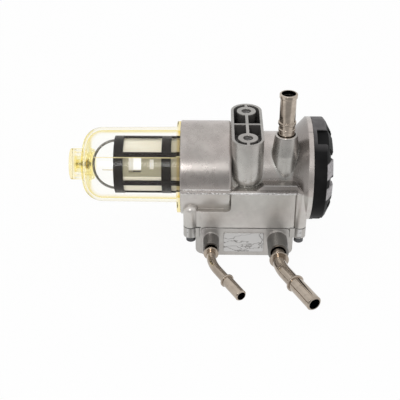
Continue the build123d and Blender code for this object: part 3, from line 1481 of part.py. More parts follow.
# Check valve: a steel ball and its light spring in the outlet gallery
ball_drop = sqrt(check_ball_radius**2 - valve_seat_radius**2)
ball_y = valve_seat_y - ball_drop - valve_rest_gap
with BuildPart(Plane(origin=(small_boss_x, ball_y, tube_z))) as check_ball:
    Sphere(check_ball_radius)
finish(check_ball, "check_ball")

check_spring_start = small_insert_y + spring_wire + spring_end_gap
check_spring_end = ball_y - sqrt(check_ball_radius**2 - check_spring_radius**2) - check_spring_back
check_spring = coil_spring(
    (small_boss_x, check_spring_start, tube_z), (0, 1, 0),
    check_spring_end - check_spring_start, check_spring_radius, spring_wire, check_spring_turns)
finish(check_spring, "check_spring")

# Electrical connector: a moulded socket with a flange against the back of the cover
connector_z = axis_z + connector_up
with BuildPart() as connector:
    with BuildSketch(across_y(panel_half_width, connector_x, connector_z)):
        RectangleRounded(connector_flange_x, connector_flange_z, connector_corner)
    extrude(amount=connector_flange_y)
    with BuildSketch(across_y(panel_half_width, connector_x, connector_z)):
        RectangleRounded(connector_shroud_x, connector_shroud_z, connector_corner)
    extrude(amount=connector_length)
    with BuildSketch(across_y(panel_half_width + connector_flange_y, connector_x, connector_z)):
        RectangleRounded(connector_shroud_x - 2 * connector_wall, connector_shroud_z - 2 * connector_wall,
                         connector_corner / 2)
    extrude(amount=connector_length, mode=Mode.SUBTRACT)
    with BuildSketch(across_y(cavity_half_width, connector_x, connector_z)):
        Rectangle(connector_plug_x - 2 * connector_plug_fit, connector_plug_z - 2 * connector_plug_fit)
    extrude(amount=cavity_wall)
    with BuildSketch(across_y(panel_half_width, connector_x, connector_z + connector_shroud_z / 2)):
        Rectangle(latch_width, 2 * latch_height)
    extrude(amount=connector_length - latch_setback)
    for side in (-1, 1):
        with BuildSketch(across_y(cavity_half_width, blade_x, connector_z + side * blade_spacing / 2)):
            Rectangle(blade_thickness + 2 * blade_fit, blade_width + 2 * blade_fit)
        extrude(amount=cavity_wall + connector_flange_y, mode=Mode.SUBTRACT)
finish(connector, "connector")

# Terminals: two flat blades from the brush cap through the connector
with BuildPart() as terminals:
    for side in (-1, 1):
        blade_z = connector_z + side * blade_spacing / 2
        with BuildSketch(across_y(motor_y + blade_inner_reach, blade_x, blade_z)):
            Rectangle(blade_thickness, blade_width)
        extrude(amount=panel_half_width + blade_outer_reach - motor_y - blade_inner_reach)
finish(terminals, "terminals")
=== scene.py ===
import bpy
from math import cos, pi, radians, sin
from mathutils import Matrix, Vector


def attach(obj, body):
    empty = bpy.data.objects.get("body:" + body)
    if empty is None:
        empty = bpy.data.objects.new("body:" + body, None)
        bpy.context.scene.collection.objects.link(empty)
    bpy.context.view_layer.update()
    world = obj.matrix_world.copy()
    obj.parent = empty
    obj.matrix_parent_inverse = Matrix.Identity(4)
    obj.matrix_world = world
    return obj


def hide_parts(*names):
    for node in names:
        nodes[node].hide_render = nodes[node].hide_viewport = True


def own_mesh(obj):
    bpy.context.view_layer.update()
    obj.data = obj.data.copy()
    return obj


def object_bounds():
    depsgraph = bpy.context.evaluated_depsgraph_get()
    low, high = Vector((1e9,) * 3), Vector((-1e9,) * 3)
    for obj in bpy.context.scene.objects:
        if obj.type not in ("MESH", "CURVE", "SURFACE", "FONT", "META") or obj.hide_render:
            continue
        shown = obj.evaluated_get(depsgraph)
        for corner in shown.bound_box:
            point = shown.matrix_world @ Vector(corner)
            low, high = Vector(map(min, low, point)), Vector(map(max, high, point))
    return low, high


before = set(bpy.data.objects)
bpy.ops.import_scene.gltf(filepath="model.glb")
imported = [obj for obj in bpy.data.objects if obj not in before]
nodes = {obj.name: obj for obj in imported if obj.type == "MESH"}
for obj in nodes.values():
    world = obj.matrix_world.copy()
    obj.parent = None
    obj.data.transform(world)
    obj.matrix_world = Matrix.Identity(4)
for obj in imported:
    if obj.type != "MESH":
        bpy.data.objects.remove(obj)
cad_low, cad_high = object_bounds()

bpy.ops.object.select_all(action="DESELECT")

# Camera: a long lens in front of the two tubes, at the photograph's angle, looking down at the
# filter axis.
photo_width = 400
photo_focal_pixels = 872.6
camera_place = Vector((-0.03070, -0.66524, 0.34229))
camera_forward = Vector((-0.012233, 0.845899, -0.533202))
camera_up = Vector((-0.007540, 0.533149, 0.845988))
camera_data = bpy.data.cameras.new("camera")
camera_data.sensor_width = 36.0
camera_data.lens = camera_data.sensor_width * photo_focal_pixels / photo_width
camera_data.clip_start = 0.01
camera_data.clip_end = 20.0
camera = bpy.data.objects.new("camera", camera_data)
bpy.context.collection.objects.link(camera)
camera_right = camera_forward.cross(camera_up)
camera_turn = Matrix((camera_right, camera_up, -camera_forward)).transposed()
camera.matrix_world = Matrix.Translation(camera_place) @ camera_turn.to_4x4()
bpy.context.scene.camera = camera
bpy.context.scene.view_settings.view_transform = "Standard"


# Studio: a white floor in a white room, with one wide soft lamp above and a small one by the
# camera. The front of the room is greyer in mirrors, so that the metal keeps its dark side.
# The wrapper that makes every material's nodes starts here, with the floor's own material.
plain_white = (1.0, 1.0, 1.0, 1.0)
floor_drop = 0.0003
floor_size = 6.0
floor_color = (0.9, 0.9, 0.9, 1.0)
floor_white_share = 0.96
floor_front_y = (-0.26, -0.20)
front_level = 0.45
room_level = 0.75
room_front_way = (0.82, 0.93)
lamp_target = Vector((-0.03, 0, -0.05))


class Wire:
    """An output socket of a material, with plain arithmetic on its values."""

    def __init__(self, tree, socket=None):
        self.tree = tree
        self.socket = socket

    def node(self, kind, settings=None, inputs=None, output=0):
        """Makes a node of this kind, and gives the wire of one of its outputs."""
        made = self.tree.nodes.new(kind)
        for name, value in (settings or {}).items():
            setattr(made, name, value)
        for name, value in (inputs or {}).items():
            if isinstance(value, Wire):
                self.tree.links.new(value.socket, made.inputs[name])
            else:
                made.inputs[name].default_value = value
        return Wire(self.tree, made.outputs[output])

    def math(self, operation, first, second=0.0):
        return self.node("ShaderNodeMath", {"operation": operation}, {0: first, 1: second})

    def __add__(self, other):
        return self.math("ADD", self, other)

    def __sub__(self, other):
        return self.math("SUBTRACT", self, other)

    def __mul__(self, other):
        return self.math("MULTIPLY", self, other)

    def __rsub__(self, other):
        return self.math("SUBTRACT", other, self)

    def __abs__(self):
        return self.math("ABSOLUTE", self)

    __radd__ = __add__
    __rmul__ = __mul__

    def more(self, other):
        """The larger of two values."""
        return self.math("MAXIMUM", self, other)

    def length(self, other):
        """Length of the flat vector that two values make."""
        return self.math("SQRT", self * self + other * other)

    def ramp(self, low, high):
        """0 at low, 1 at high, clamped."""
        return self.node("ShaderNodeMapRange", {"clamp": True}, {0: self, 1: low, 2: high, 3: 0.0, 4: 1.0})

    def below(self, full, none):
        """1 up to full, 0 from none on."""
        return 1.0 - self.ramp(full, none)

    def between(self, start, full, fading, end):
        """1 from full to fading, 0 before start and after end."""
        return self.ramp(start, full) * self.below(fading, end)

    def near(self, place, full, none):
        """1 within the distance full of a place, 0 from the distance none on."""
        return abs(self - place).below(full, none)

    def mix(self, first, second):
        """The first colour where this is 0, the second where it is 1."""
        return self.node("ShaderNodeMix", {"data_type": "RGBA"}, {0: self, 6: first, 7: second}, 2)

    def bump(self, distance, strength, normal=None):
        """A bump of this height; the distance is its real size in metres."""
        inputs = {"Strength": strength, "Distance": distance, "Height": self}
        if normal is not None:
            inputs["Normal"] = normal
        return self.node("ShaderNodeBump", inputs=inputs, output="Normal")


def new_material(name):
    """An empty material, with a wire that makes its nodes."""
    material = bpy.data.materials.new(name)
    material.use_nodes = True
    material.node_tree.nodes.clear()
    return material, Wire(material.node_tree)


def close_material(maker, shader, volume=None):
    """Leads the finished shader, and the volume of a clear piece, to the material's end."""
    end = maker.tree.nodes.new("ShaderNodeOutputMaterial")
    maker.tree.links.new(shader.socket, end.inputs["Surface"])
    if volume is not None:
        maker.tree.links.new(volume.socket, end.inputs["Volume"])


def mix_shaders(maker, share, first, second):
    """The first shader where the share is 0, the second where it is 1."""
    return maker.node("ShaderNodeMixShader", inputs={0: share, 1: first, 2: second})


def white_where_seen(maker, kind, front, share, lit):
    """White where the surface is seen, mirrored or looked at through glass, and lit elsewhere;
    mirrors see the front of the room greyer."""
    seen = maker.node("ShaderNodeLightPath", output="Is Camera Ray")
    mirrored = maker.node("ShaderNodeLightPath", output="Is Glossy Ray")
    through = maker.node("ShaderNodeLightPath", output="Is Transmission Ray")
    white = maker.node(kind, inputs={"Color": plain_white, "Strength": 1.0})
    grey = maker.node(kind, inputs={"Color": plain_white, "Strength": front_level})
    bright = mix_shaders(maker, front * mirrored * (1.0 - through), white, grey)
    return mix_shaders(maker, seen.more(mirrored).more(through) * share, lit, bright)


bpy.ops.mesh.primitive_plane_add(size=floor_size, location=(0, 0, cad_low.z - floor_drop))
floor = bpy.context.object
floor.name = "floor"
bpy.ops.object.transform_apply(location=True)
floor_material, maker = new_material("white_floor")
floor_lit = maker.node("ShaderNodeBsdfDiffuse", inputs={"Color": floor_color}, output="BSDF")
floor_place = maker.node("ShaderNodeTexCoord", output="Object")
floor_front = maker.node("ShaderNodeSeparateXYZ", inputs={0: floor_place}, output="Y").below(*floor_front_y)
close_material(maker, white_where_seen(
    maker, "ShaderNodeEmission", floor_front, floor_white_share, floor_lit))
floor.data.materials.append(floor_material)
bpy.ops.object.select_all(action="DESELECT")

world = bpy.data.worlds.new("room")
bpy.context.scene.world = world
world.use_nodes = True
world.node_tree.nodes.clear()
maker = Wire(world.node_tree)
room_light = maker.node("ShaderNodeBackground", inputs={"Color": plain_white, "Strength": room_level})
room_way = maker.node("ShaderNodeTexCoord", output="Generated")
room_back = maker.node("ShaderNodeSeparateXYZ", inputs={0: room_way}, output="Y")
room_front = (0.0 - room_back).ramp(*room_front_way)
room = white_where_seen(maker, "ShaderNodeBackground", room_front, 1.0, room_light)
world_end = world.node_tree.nodes.new("ShaderNodeOutputWorld")
world.node_tree.links.new(room.socket, world_end.inputs["Surface"])

for lamp_name, place, size, power in (
    ("lamp_top", Vector((-0.20, 0.45, 1.30)), 2.0, 1.5),
    ("lamp_camera", Vector((-0.22, -0.95, 0.50)), 0.24, 1.6),
):
    lamp_data = bpy.data.lights.new(lamp_name, "AREA")
    lamp_data.shape = "SQUARE"
    lamp_data.size = size
    lamp_data.energy = power
    lamp = bpy.data.objects.new(lamp_name, lamp_data)
    bpy.context.collection.objects.link(lamp)
    lamp.location = place
    lamp.rotation_mode = "QUATERNION"
    lamp.rotation_quaternion = (lamp_target - place).to_track_quat("-Z", "Y")


# Main housing: one aluminium die casting that hangs from the frame by its pad. Its skin is satin
# and cloudy, with stains low down and fine pits. The pad and the boss mouth are machined, and the
# machined faces are darker. Painted shade darkens the pad's pockets and holes, the nipple socket,
# the left barrel low down, the sloping ledge and the right cone, and the upper body more than the
# lower, which gets painted light; painted highlights run along the parting line and the two long
# edges above it.
housing_light = (0.60, 0.59, 0.575, 1.0)
housing_dark = (0.37, 0.36, 0.35, 1.0)
# Colour of painted highlights.
highlight_white = (0.95, 0.94, 0.93, 1.0)
cool_tint = (0.985, 0.98, 0.95, 1.0)
warm_tint = (1.0, 0.925, 0.90, 1.0)
stain_tint = (0.86, 0.80, 0.80, 1.0)
# Colour of dark marks and of painted shade.
dark_mark_and_shade_color = (0.028, 0.026, 0.025, 1.0)
cast_edge_round = 0.0007
cast_grain_height = 0.00008
cast_cloud_scale = 38.0
cast_flow_scale = 130.0
cast_grain_scale = 1700.0
cast_stain_scale = 75.0
cast_pit_scale = 900.0
cast_tint_scale = 22.0
wander_scale = 210.0
speck_scale = 650.0
ragged_scale = 420.0
# Two numbers give where a mark starts to show and where it is full, or is full and has faded,
# and four give both of its ends.
box_top_z = (-0.046, -0.044)
slot_half_length = 0.026
pocket_reach = (0.0111, 0.0114)
pocket_heights = (-0.0275, -0.0265, -0.0012, -0.0005)
pad_reach = (0.0135, 0.0145)
hole_place_y = 0.025
hole_mouth_reach = (0.0041, 0.0043)
hole_reach = (0.0042, 0.0044)
hole_heights = (-0.020, -0.019, -0.006, -0.001)
nipple_x = 0.0321
nipple_y = -0.0196
socket_reach = (0.0079, 0.0082)
socket_heights = (-0.012, -0.011, 0.0004, 0.0008)
boss_reach = (0.0120, 0.0130)
pad_face_heights = (-0.0003, -0.0001, 0.0002, 0.0004)
parting_z = -0.0447
parting_wander = 0.0022
parting_width = (0.0003, 0.0007)
parting_front_y = (-0.0418, -0.0405)
parting_ends = (-0.0565, -0.052, 0.040, 0.046)
flash_offset = 0.0007
flash_relief = 0.0004
column_x = (-0.018, -0.012)
highlight_edge_width = (0.0003, 0.0006)
ledge_z = -0.0367
ledge_front_y = (-0.0410, -0.0403)
ledge_ends = (0.013, 0.016, 0.041, 0.043)
barrel_edge_z = -0.0412
barrel_front_y = (-0.040, -0.038)
barrel_ends = (-0.0565, -0.052, -0.014, -0.012)
left_barrel_x = (-0.016, -0.012)
slope_ends = (0.008, 0.016, 0.042, 0.046)
slope_heights = (-0.0445, -0.0435, -0.037, -0.034)
slope_front_y = (-0.036, -0.030)
cone_ends = (0.037, 0.041, 0.050, 0.0515)
cone_z = (-0.046, -0.040)
barrel_low_x = (-0.017, -0.012)
barrel_low_heights = (-0.045, -0.040, -0.030, -0.018)


def dress(node, material):
    """Gives a CAD node its finish."""
    for slot in nodes[node].material_slots:
        slot.material = material
    if not nodes[node].material_slots:
        nodes[node].data.materials.append(material)


def noise(maker, place, scale, detail=4.0, roughness=0.5):
    """Cloudy values around a half; the scale is clouds per metre."""
    return maker.node("ShaderNodeTexNoise", inputs={
        "Vector": place, "Scale": scale, "Detail": detail, "Roughness": roughness}, output="Fac")


def split(maker, place):
    """The three coordinates of a place, as wires."""
    return [maker.node("ShaderNodeSeparateXYZ", inputs={0: place}, output=axis) for axis in "XYZ"]


def soft_edge(maker, radius):
    """Rounds the light on sharp edges by this radius."""
    return maker.node("ShaderNodeBevel", inputs={"Radius": radius}, output="Normal")


def cast_metal(name, light, dark, polish_and_highlight_color, marks):
    """A die-cast skin; marks(maker, place) gives dark marks and painted shade, polish and painted
    highlights, more painted shade and painted light, relief, warmth and dullness.
    """
    material, maker = new_material(name)
    place = maker.node("ShaderNodeTexCoord", output="Object")
    dark_marks_and_shade, polish_and_highlight, shade, relief, warm, dull = marks(maker, place)
    low = maker.node("ShaderNodeSeparateXYZ", inputs={0: place}, output="Z").below(*box_top_z)
    cloud = noise(maker, place, cast_cloud_scale, 5.0, 0.55)
    flow = noise(maker, place, cast_flow_scale, 5.0, 0.6)
    grain = noise(maker, place, cast_grain_scale, 3.0)
    stain = noise(maker, place, cast_stain_scale, 4.0, 0.6).ramp(0.56, 0.66) * low
    pits = maker.node("ShaderNodeTexVoronoi", inputs={
        "Vector": place, "Scale": cast_pit_scale}, output="Distance")
    # Random tone from the clouds and flow, less the painted shade and light of the marks.
    tone_and_shade = cloud.ramp(0.32, 0.68) * 0.6 + flow.ramp(0.25, 0.75) * 0.4 - shade
    warmer = noise(maker, place, cast_tint_scale, 2.0).ramp(0.42, 0.60) * 0.4 + warm * 0.6
    tint = warmer.mix(cool_tint, warm_tint)
    color = maker.node("ShaderNodeMix", {"data_type": "RGBA", "blend_type": "MULTIPLY"}, {
        0: 1.0, 6: tone_and_shade.mix(dark, light), 7: (stain * 0.5).mix(tint, stain_tint)}, 2)
    # Dark marks with painted shade, and polish with painted highlights, over the skin's colour.
    color = dark_marks_and_shade.mix(polish_and_highlight.mix(color, polish_and_highlight_color), dark_mark_and_shade_color)
    skin = grain * 0.6 + flow * 0.2 + pits.ramp(0.0, 0.35) * 0.2
    fine = skin.bump(cast_grain_height, 0.15, soft_edge(maker, cast_edge_round))
    close_material(maker, maker.node("ShaderNodeBsdfPrincipled", inputs={
        "Base Color": color,
        "Metallic": 0.85 - dull * 0.7,
        "Roughness": flow.ramp(0.3, 0.7) * 0.06 + 0.25 + low * 0.08,
        "Normal": relief.bump(flash_relief, 1.0, fine)}))
    return material


def housing_marks(maker, place):
    """Painted shade in the pad's pockets and holes and in the nipple socket, darker machined faces,
    painted shade and light by place and height, painted highlights along the long edges, and the
    ragged flash of the parting line, with its real crack and a painted highlight beside it.
    """
    x, y, z = split(maker, place)
    from_slot = abs(x).length((abs(y) - slot_half_length).more(0.0))
    from_hole = (abs(y) - hole_place_y).length(x)
    from_nipple = (x - nipple_x).length(y - nipple_y)
    # Painted shade: the pad's pockets, the tapped holes and the nipple socket are darkened as recesses.
    pocket = from_slot.below(*pocket_reach) * z.between(*pocket_heights) * from_hole.ramp(*hole_mouth_reach)
    hole = from_hole.below(*hole_reach) * z.between(*hole_heights)
    socket = from_nipple.below(*socket_reach) * z.between(*socket_heights)
    machined = z.between(*pad_face_heights)
    wander = (noise(maker, place, wander_scale, 4.0, 0.7) - 0.5) * parting_wander
    line = abs(z - parting_z + wander)
    front = y.below(*parting_front_y) * x.between(*parting_ends)
    specks = noise(maker, place, speck_scale, 3.0).ramp(0.44, 0.56)
    crack = line.below(*parting_width) * front * specks * (0.8 - x.ramp(*column_x) * 0.5)
    ragged = noise(maker, place, ragged_scale, 3.0).ramp(0.42, 0.62).more(x.ramp(*column_x))
    # The band beside the parting line is the flash in relief, and in colour a painted highlight.
    flash = line.near(flash_offset, *parting_width) * front * ragged
    # Painted highlights along the two long edges above the parting line, on the ledge and the left barrel.
    ledge_highlight = z.near(ledge_z, *highlight_edge_width) * y.below(*ledge_front_y) * x.between(*ledge_ends)
    barrel_highlight = z.near(barrel_edge_z, *highlight_edge_width) * y.below(*barrel_front_y) * x.between(*barrel_ends)
    barrel_low = x.below(*barrel_low_x) * z.between(*barrel_low_heights)
    slope = x.between(*slope_ends) * z.between(*slope_heights) * y.below(*slope_front_y)
    cone = x.between(*cone_ends) * z.ramp(*cone_z)
    high = z.ramp(*box_top_z)
    left = x.below(*left_barrel_x) * high
    raised = from_slot.below(*pad_reach).more(from_nipple.below(*boss_reach))
    # Painted shade and light: the left barrel low down, the sloping ledge and the right cone are darker, and
    # the upper body, the left barrel most, is darker than the lower body, which is painted lighter.
    shade = (barrel_low * 0.05).more(slope * 1.1).more(cone) + left * 0.26 + high * 0.36 - 0.38
    # Dark marks and painted shade: the crack is real and the machined faces are darker; the socket, holes,
    # sloping ledge and cone get painted shade.
    dark_marks_and_shade = socket.more(machined * 0.29).more(hole * 0.8).more(crack).more(slope * 0.42).more(cone * 0.22)
    painted_highlight = flash.more(ledge_highlight * 0.7).more(barrel_highlight * 0.7)
    return dark_marks_and_shade.more(pocket * 0.83), painted_highlight, shade, flash, high * (1.0 - raised), painted_highlight.more(pocket)


dress("main_housing", cast_metal("housing_casting", housing_light, housing_dark, highlight_white, housing_marks))


# Parting flash: the thin ragged fin of aluminium that is left where the two halves of the die
# met, along the front of the main housing. It is part of that casting, so it rides on the base.
flash_left = -0.0560
flash_right = 0.0455
flash_start_y = -0.0700
flash_reach = 0.0011
flash_sink = 0.0001
flash_growth = 0.0028
flash_grain = 0.0016
flash_thickness = 0.00022
flash_steps = 180
flash_cloud_scale = 500.0
weld_distance = 0.000005
# The fin's colour is flecked at random with painted highlight and painted shadow.
flash_highlight = (0.92, 0.91, 0.90, 1.0)
flash_shadow = (0.15, 0.15, 0.15, 1.0)
bpy.ops.mesh.primitive_grid_add(x_subdivisions=flash_steps, y_subdivisions=1, size=1.0, location=(0, 0, 0))
flash = bpy.context.object
flash.name = "parting_flash"
bpy.ops.object.mode_set(mode="EDIT")
bpy.ops.mesh.select_all(action="SELECT")
bpy.ops.transform.resize(value=(flash_right - flash_left, flash_reach, 1.0), center_override=(0, 0, 0))
bpy.ops.transform.translate(value=((flash_left + flash_right) / 2, flash_start_y, parting_z))
bpy.ops.object.mode_set(mode="OBJECT")
fin = flash.vertex_groups.new(name="fin")
fin.add([v.index for v in flash.data.vertices if v.co.y < flash_start_y], 1.0, "REPLACE")
wrap = flash.modifiers.new("wrap", "SHRINKWRAP")
wrap.target = nodes["main_housing"]
wrap.wrap_method = "PROJECT"
wrap.use_project_y = True
wrap.use_positive_direction = True
wrap.use_negative_direction = False
wrap.offset = -flash_sink
clouds = bpy.data.textures.new("flash_clouds", "CLOUDS")
clouds.noise_scale = flash_grain
clouds.noise_depth = 3
grow = flash.modifiers.new("grow", "DISPLACE")
grow.vertex_group = "fin"
grow.texture = clouds
grow.texture_coords = "LOCAL"
grow.direction = "Y"
grow.mid_level = 0.42
grow.strength = -flash_growth
skin = flash.modifiers.new("skin", "SOLIDIFY")
skin.thickness = flash_thickness
skin.offset = 0.0
for modifier in ("wrap", "grow", "skin"):
    bpy.ops.object.modifier_apply(modifier=modifier)
bpy.ops.object.mode_set(mode="EDIT")
bpy.ops.mesh.select_all(action="SELECT")
bpy.ops.mesh.remove_doubles(threshold=weld_distance)
bpy.ops.mesh.normals_make_consistent(inside=False)
bpy.ops.object.mode_set(mode="OBJECT")
flash_metal, maker = new_material("flash_metal")
flash_place = maker.node("ShaderNodeTexCoord", output="Object")
flash_cloud = noise(maker, flash_place, flash_cloud_scale, 3.0)
close_material(maker, maker.node("ShaderNodeBsdfPrincipled", inputs={
    "Base Color": flash_cloud.ramp(0.36, 0.46).mix(flash_shadow, flash_highlight),
    "Metallic": 0.3,
    "Roughness": flash_cloud * 0.2 + 0.3}))
flash.data.materials.append(flash_metal)
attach(flash, "base")
bpy.ops.object.select_all(action="DESELECT")


# Pump cover: the second aluminium casting, a tray that is screwed under the main housing. Its raised
# plate keeps the wandering seams where two streams of metal met, and both tube bosses are turned
# and darker, with painted shade in their mouths.
cover_light = (0.56, 0.55, 0.54, 1.0)
cover_dark = (0.40, 0.39, 0.38, 1.0)
plate_color = (0.56, 0.55, 0.54, 1.0)
tube_z = -0.0912
small_boss_x = -0.0300
small_mouth_reach = (0.0053, 0.0054)
large_boss_x = 0.0272
large_mouth_reach = (0.0067, 0.0068)
boss_start_y = (-0.0425, -0.0422)
mouth_start_y = (-0.041, -0.039)
plate_depths = (-0.0421, -0.0420, -0.0416, -0.0413)
cover_seam_stretch = (0.5, 1.0, 1.5)
cover_seam_scale = 62.0
cover_seam_width = (0.004, 0.010)
turning_scale = 700.0


def bands(maker, place, way, scale, distortion=0.0):
    """Soft bands across one axis, such as a tool or a loom leaves."""
    return maker.node("ShaderNodeTexWave", {"bands_direction": way}, {
        "Vector": place, "Scale": scale, "Distortion": distortion}, "Fac")


def cover_marks(maker, place):
    """Darker turned bosses with painted shade in their mouths, and flow seams on the raised plate."""
    x, y, z = split(maker, place)
    boss = y.below(*boss_start_y)
    small_mouth = (x - small_boss_x).length(z - tube_z).below(*small_mouth_reach)
    large_mouth = (x - large_boss_x).length(z - tube_z).below(*large_mouth_reach)
    # Painted shade in the mouths of both bosses.
    inside = small_mouth.more(large_mouth) * y.below(*mouth_start_y)
    turned = bands(maker, place, "Y", turning_scale)
    stretched = maker.node("ShaderNodeVectorMath", {"operation": "MULTIPLY"}, {
        0: place, 1: cover_seam_stretch})
    plate = y.between(*plate_depths)
    seam = noise(maker, stretched, cover_seam_scale, 4.0, 0.55).near(0.5, *cover_seam_width) * plate
    dark_marks_and_shade = (boss * (0.57 + turned * 0.08)).more(inside).more(seam * 0.5)
    return dark_marks_and_shade, plate - seam, 0.0, seam * 0.5, 0.0, 0.0


dress("pump_cover", cast_metal("cover_casting", cover_light, cover_dark, plate_color, cover_marks))


# Gasket and seals: the gasket is cut from sheet and lies under the cover's rim. The seals are rings
# of moulded rubber, nearly black with a dull skin, and only the one in the drain is amber.
rubber_black = (0.012, 0.012, 0.012, 1.0)
rubber_amber = (0.55, 0.40, 0.14, 1.0)
sheet_grey = (0.05, 0.05, 0.048, 1.0)
# The grey of painted highlights and pale faces.
highlight_and_pale_grey = (0.46, 0.44, 0.45, 1.0)
dull_cloud_scale = 60.0
dull_edge_round = 0.0004


def dull_skin(name, color, roughness, gloss=0.13, grain_scale=900.0, grain_height=0.0001, highlight_and_pale=None):
    """A dull moulded or pressed skin; highlight_and_pale(maker, place) gives where it is painted a paler
    grey, for painted highlights and pale faces.
    """
    material, maker = new_material(name)
    place = maker.node("ShaderNodeTexCoord", output="Object")
    cloud = noise(maker, place, dull_cloud_scale, 3.0)
    faded = tuple(min(1.0, part * 1.6 + 0.004) for part in color[:3]) + (1.0,)
    skin = cloud.ramp(0.35, 0.7).mix(color, faded)
    if highlight_and_pale is not None:
        skin = highlight_and_pale(maker, place).mix(skin, highlight_and_pale_grey)
    grain = noise(maker, place, grain_scale, 3.0)
    close_material(maker, maker.node("ShaderNodeBsdfPrincipled", inputs={
        "Base Color": skin,
        "Roughness": cloud.ramp(0.3, 0.7) * 0.1 + roughness,
        "Specular IOR Level": gloss,
        "Normal": grain.bump(grain_height, 0.3, soft_edge(maker, dull_edge_round))}))
    return material


seal_rubber = dull_skin("seal_rubber", rubber_black, 0.55)
for seal in ("nipple_o_ring", "tube_o_rings", "cap_o_ring", "bowl_seal"):
    dress(seal, seal_rubber)
dress("drain_o_ring", dull_skin("amber_rubber", rubber_amber, 0.4))
dress("cover_gasket", dull_skin("gasket_sheet", sheet_grey, 0.7))


# Cover screws: four socket-head steel screws with a black oxide skin, put in from below through
# the cover's ears.
oxide_black = (0.12, 0.12, 0.125, 1.0)
metal_cloud_scale = 140.0
metal_grain_scale = 1300.0
metal_grain_height = 0.00008
metal_edge_round = 0.0003


def plain_metal(name, color, metallic, roughness):
    """A turned, drawn or pressed metal with faint clouds."""
    material, maker = new_material(name)
    place = maker.node("ShaderNodeTexCoord", output="Object")
    cloud = noise(maker, place, metal_cloud_scale, 4.0)
    dark = tuple(part * 0.72 for part in color[:3]) + (1.0,)
    grain = noise(maker, place, metal_grain_scale, 2.0)
    close_material(maker, maker.node("ShaderNodeBsdfPrincipled", inputs={
        "Base Color": cloud.ramp(0.35, 0.62).mix(dark, color),
        "Metallic": metallic,
        "Roughness": cloud.ramp(0.3, 0.7) * 0.08 + roughness,
        "Normal": grain.bump(metal_grain_height, 0.12, soft_edge(maker, metal_edge_round))}))
    return material


dress("cover_screws", plain_metal("black_oxide", oxide_black, 0.7, 0.45))


# Pad threads: metric threads that a tap cut in the two mounting holes of the main housing, as two
# spiral ridges along the bores. They are part of that casting, so they ride on the base.
thread_bore = 0.00430
thread_depth = 0.00042
thread_pitch = 0.0015
thread_turns = 9
thread_start = 0.9
thread_steps = 32
cut_aluminium = (0.50, 0.49, 0.48, 1.0)
bpy.ops.mesh.primitive_circle_add(vertices=3, radius=thread_depth, fill_type="NOTHING", location=(0, 0, 0))
threads = bpy.context.object
threads.name = "pad_threads"
bpy.ops.object.mode_set(mode="EDIT")
bpy.ops.mesh.select_all(action="SELECT")
bpy.ops.transform.rotate(value=pi / 2, orient_axis="Z", center_override=(0, 0, 0))
bpy.ops.transform.rotate(value=pi / 2, orient_axis="X", center_override=(0, 0, 0))
bpy.ops.transform.translate(value=(thread_bore, 0, -thread_pitch * (thread_turns + thread_start)))
bpy.ops.object.mode_set(mode="OBJECT")
spiral = threads.modifiers.new("spiral", "SCREW")
spiral.axis = "Z"
spiral.steps = thread_steps
spiral.render_steps = thread_steps
spiral.iterations = thread_turns
spiral.screw_offset = thread_pitch
second_hole = threads.modifiers.new("second_hole", "ARRAY")
second_hole.count = 2
second_hole.use_relative_offset = False
second_hole.use_constant_offset = True
second_hole.constant_offset_displace = (0, -2 * hole_place_y, 0)
for modifier in ("spiral", "second_hole"):
    bpy.ops.object.modifier_apply(modifier=modifier)
bpy.ops.object.mode_set(mode="EDIT")
bpy.ops.mesh.select_all(action="SELECT")
bpy.ops.transform.translate(value=(0, hole_place_y, 0))
bpy.ops.mesh.remove_doubles(threshold=weld_distance)
bpy.ops.mesh.fill_holes(sides=4)
bpy.ops.mesh.normals_make_consistent(inside=False)
bpy.ops.object.mode_set(mode="OBJECT")
threads.data.materials.append(plain_metal("cut_thread", cut_aluminium, 1.0, 0.25))
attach(threads, "base")
bpy.ops.object.select_all(action="DESELECT")


# Hose nipple and the two quick-connect tubes: turned and bent steel with a warm nickel plating,
# smooth, with brown clouds, faint turning lines and painted shade in the bores. Each is pushed
# into its boss, over a rubber ring.
nickel_dark = (0.33, 0.28, 0.23, 1.0)
nickel_smear = (0.26, 0.22, 0.185, 1.0)
# Painted shade inside the bores.
nickel_bore_shade = (0.06, 0.055, 0.05, 1.0)
nipple_nickel = (0.52, 0.45, 0.38, 1.0)
small_tube_nickel = (0.45, 0.385, 0.32, 1.0)
large_tube_nickel = (0.42, 0.36, 0.30, 1.0)
nickel_cloud_scale = 85.0
nickel_smear_scale = 260.0
nickel_ring_scale = 900.0
nickel_ring_height = 0.00003
nickel_edge_round = 0.0004
nipple_bore_reach = (0.0059, 0.00605)
small_tube_end = Vector((-0.01131, -0.110217, tube_z))
small_tube_heading = Vector((0.48481, -0.87462))
small_tube_bore = 0.0037
large_tube_end = Vector((0.044736, -0.116171, tube_z))
large_tube_heading = Vector((0.446198, -0.894934))
large_tube_bore = 0.00485
tube_bore_blur = 0.00015
tube_bore_depths = (0.0002, 0.0006, 0.018, 0.020)


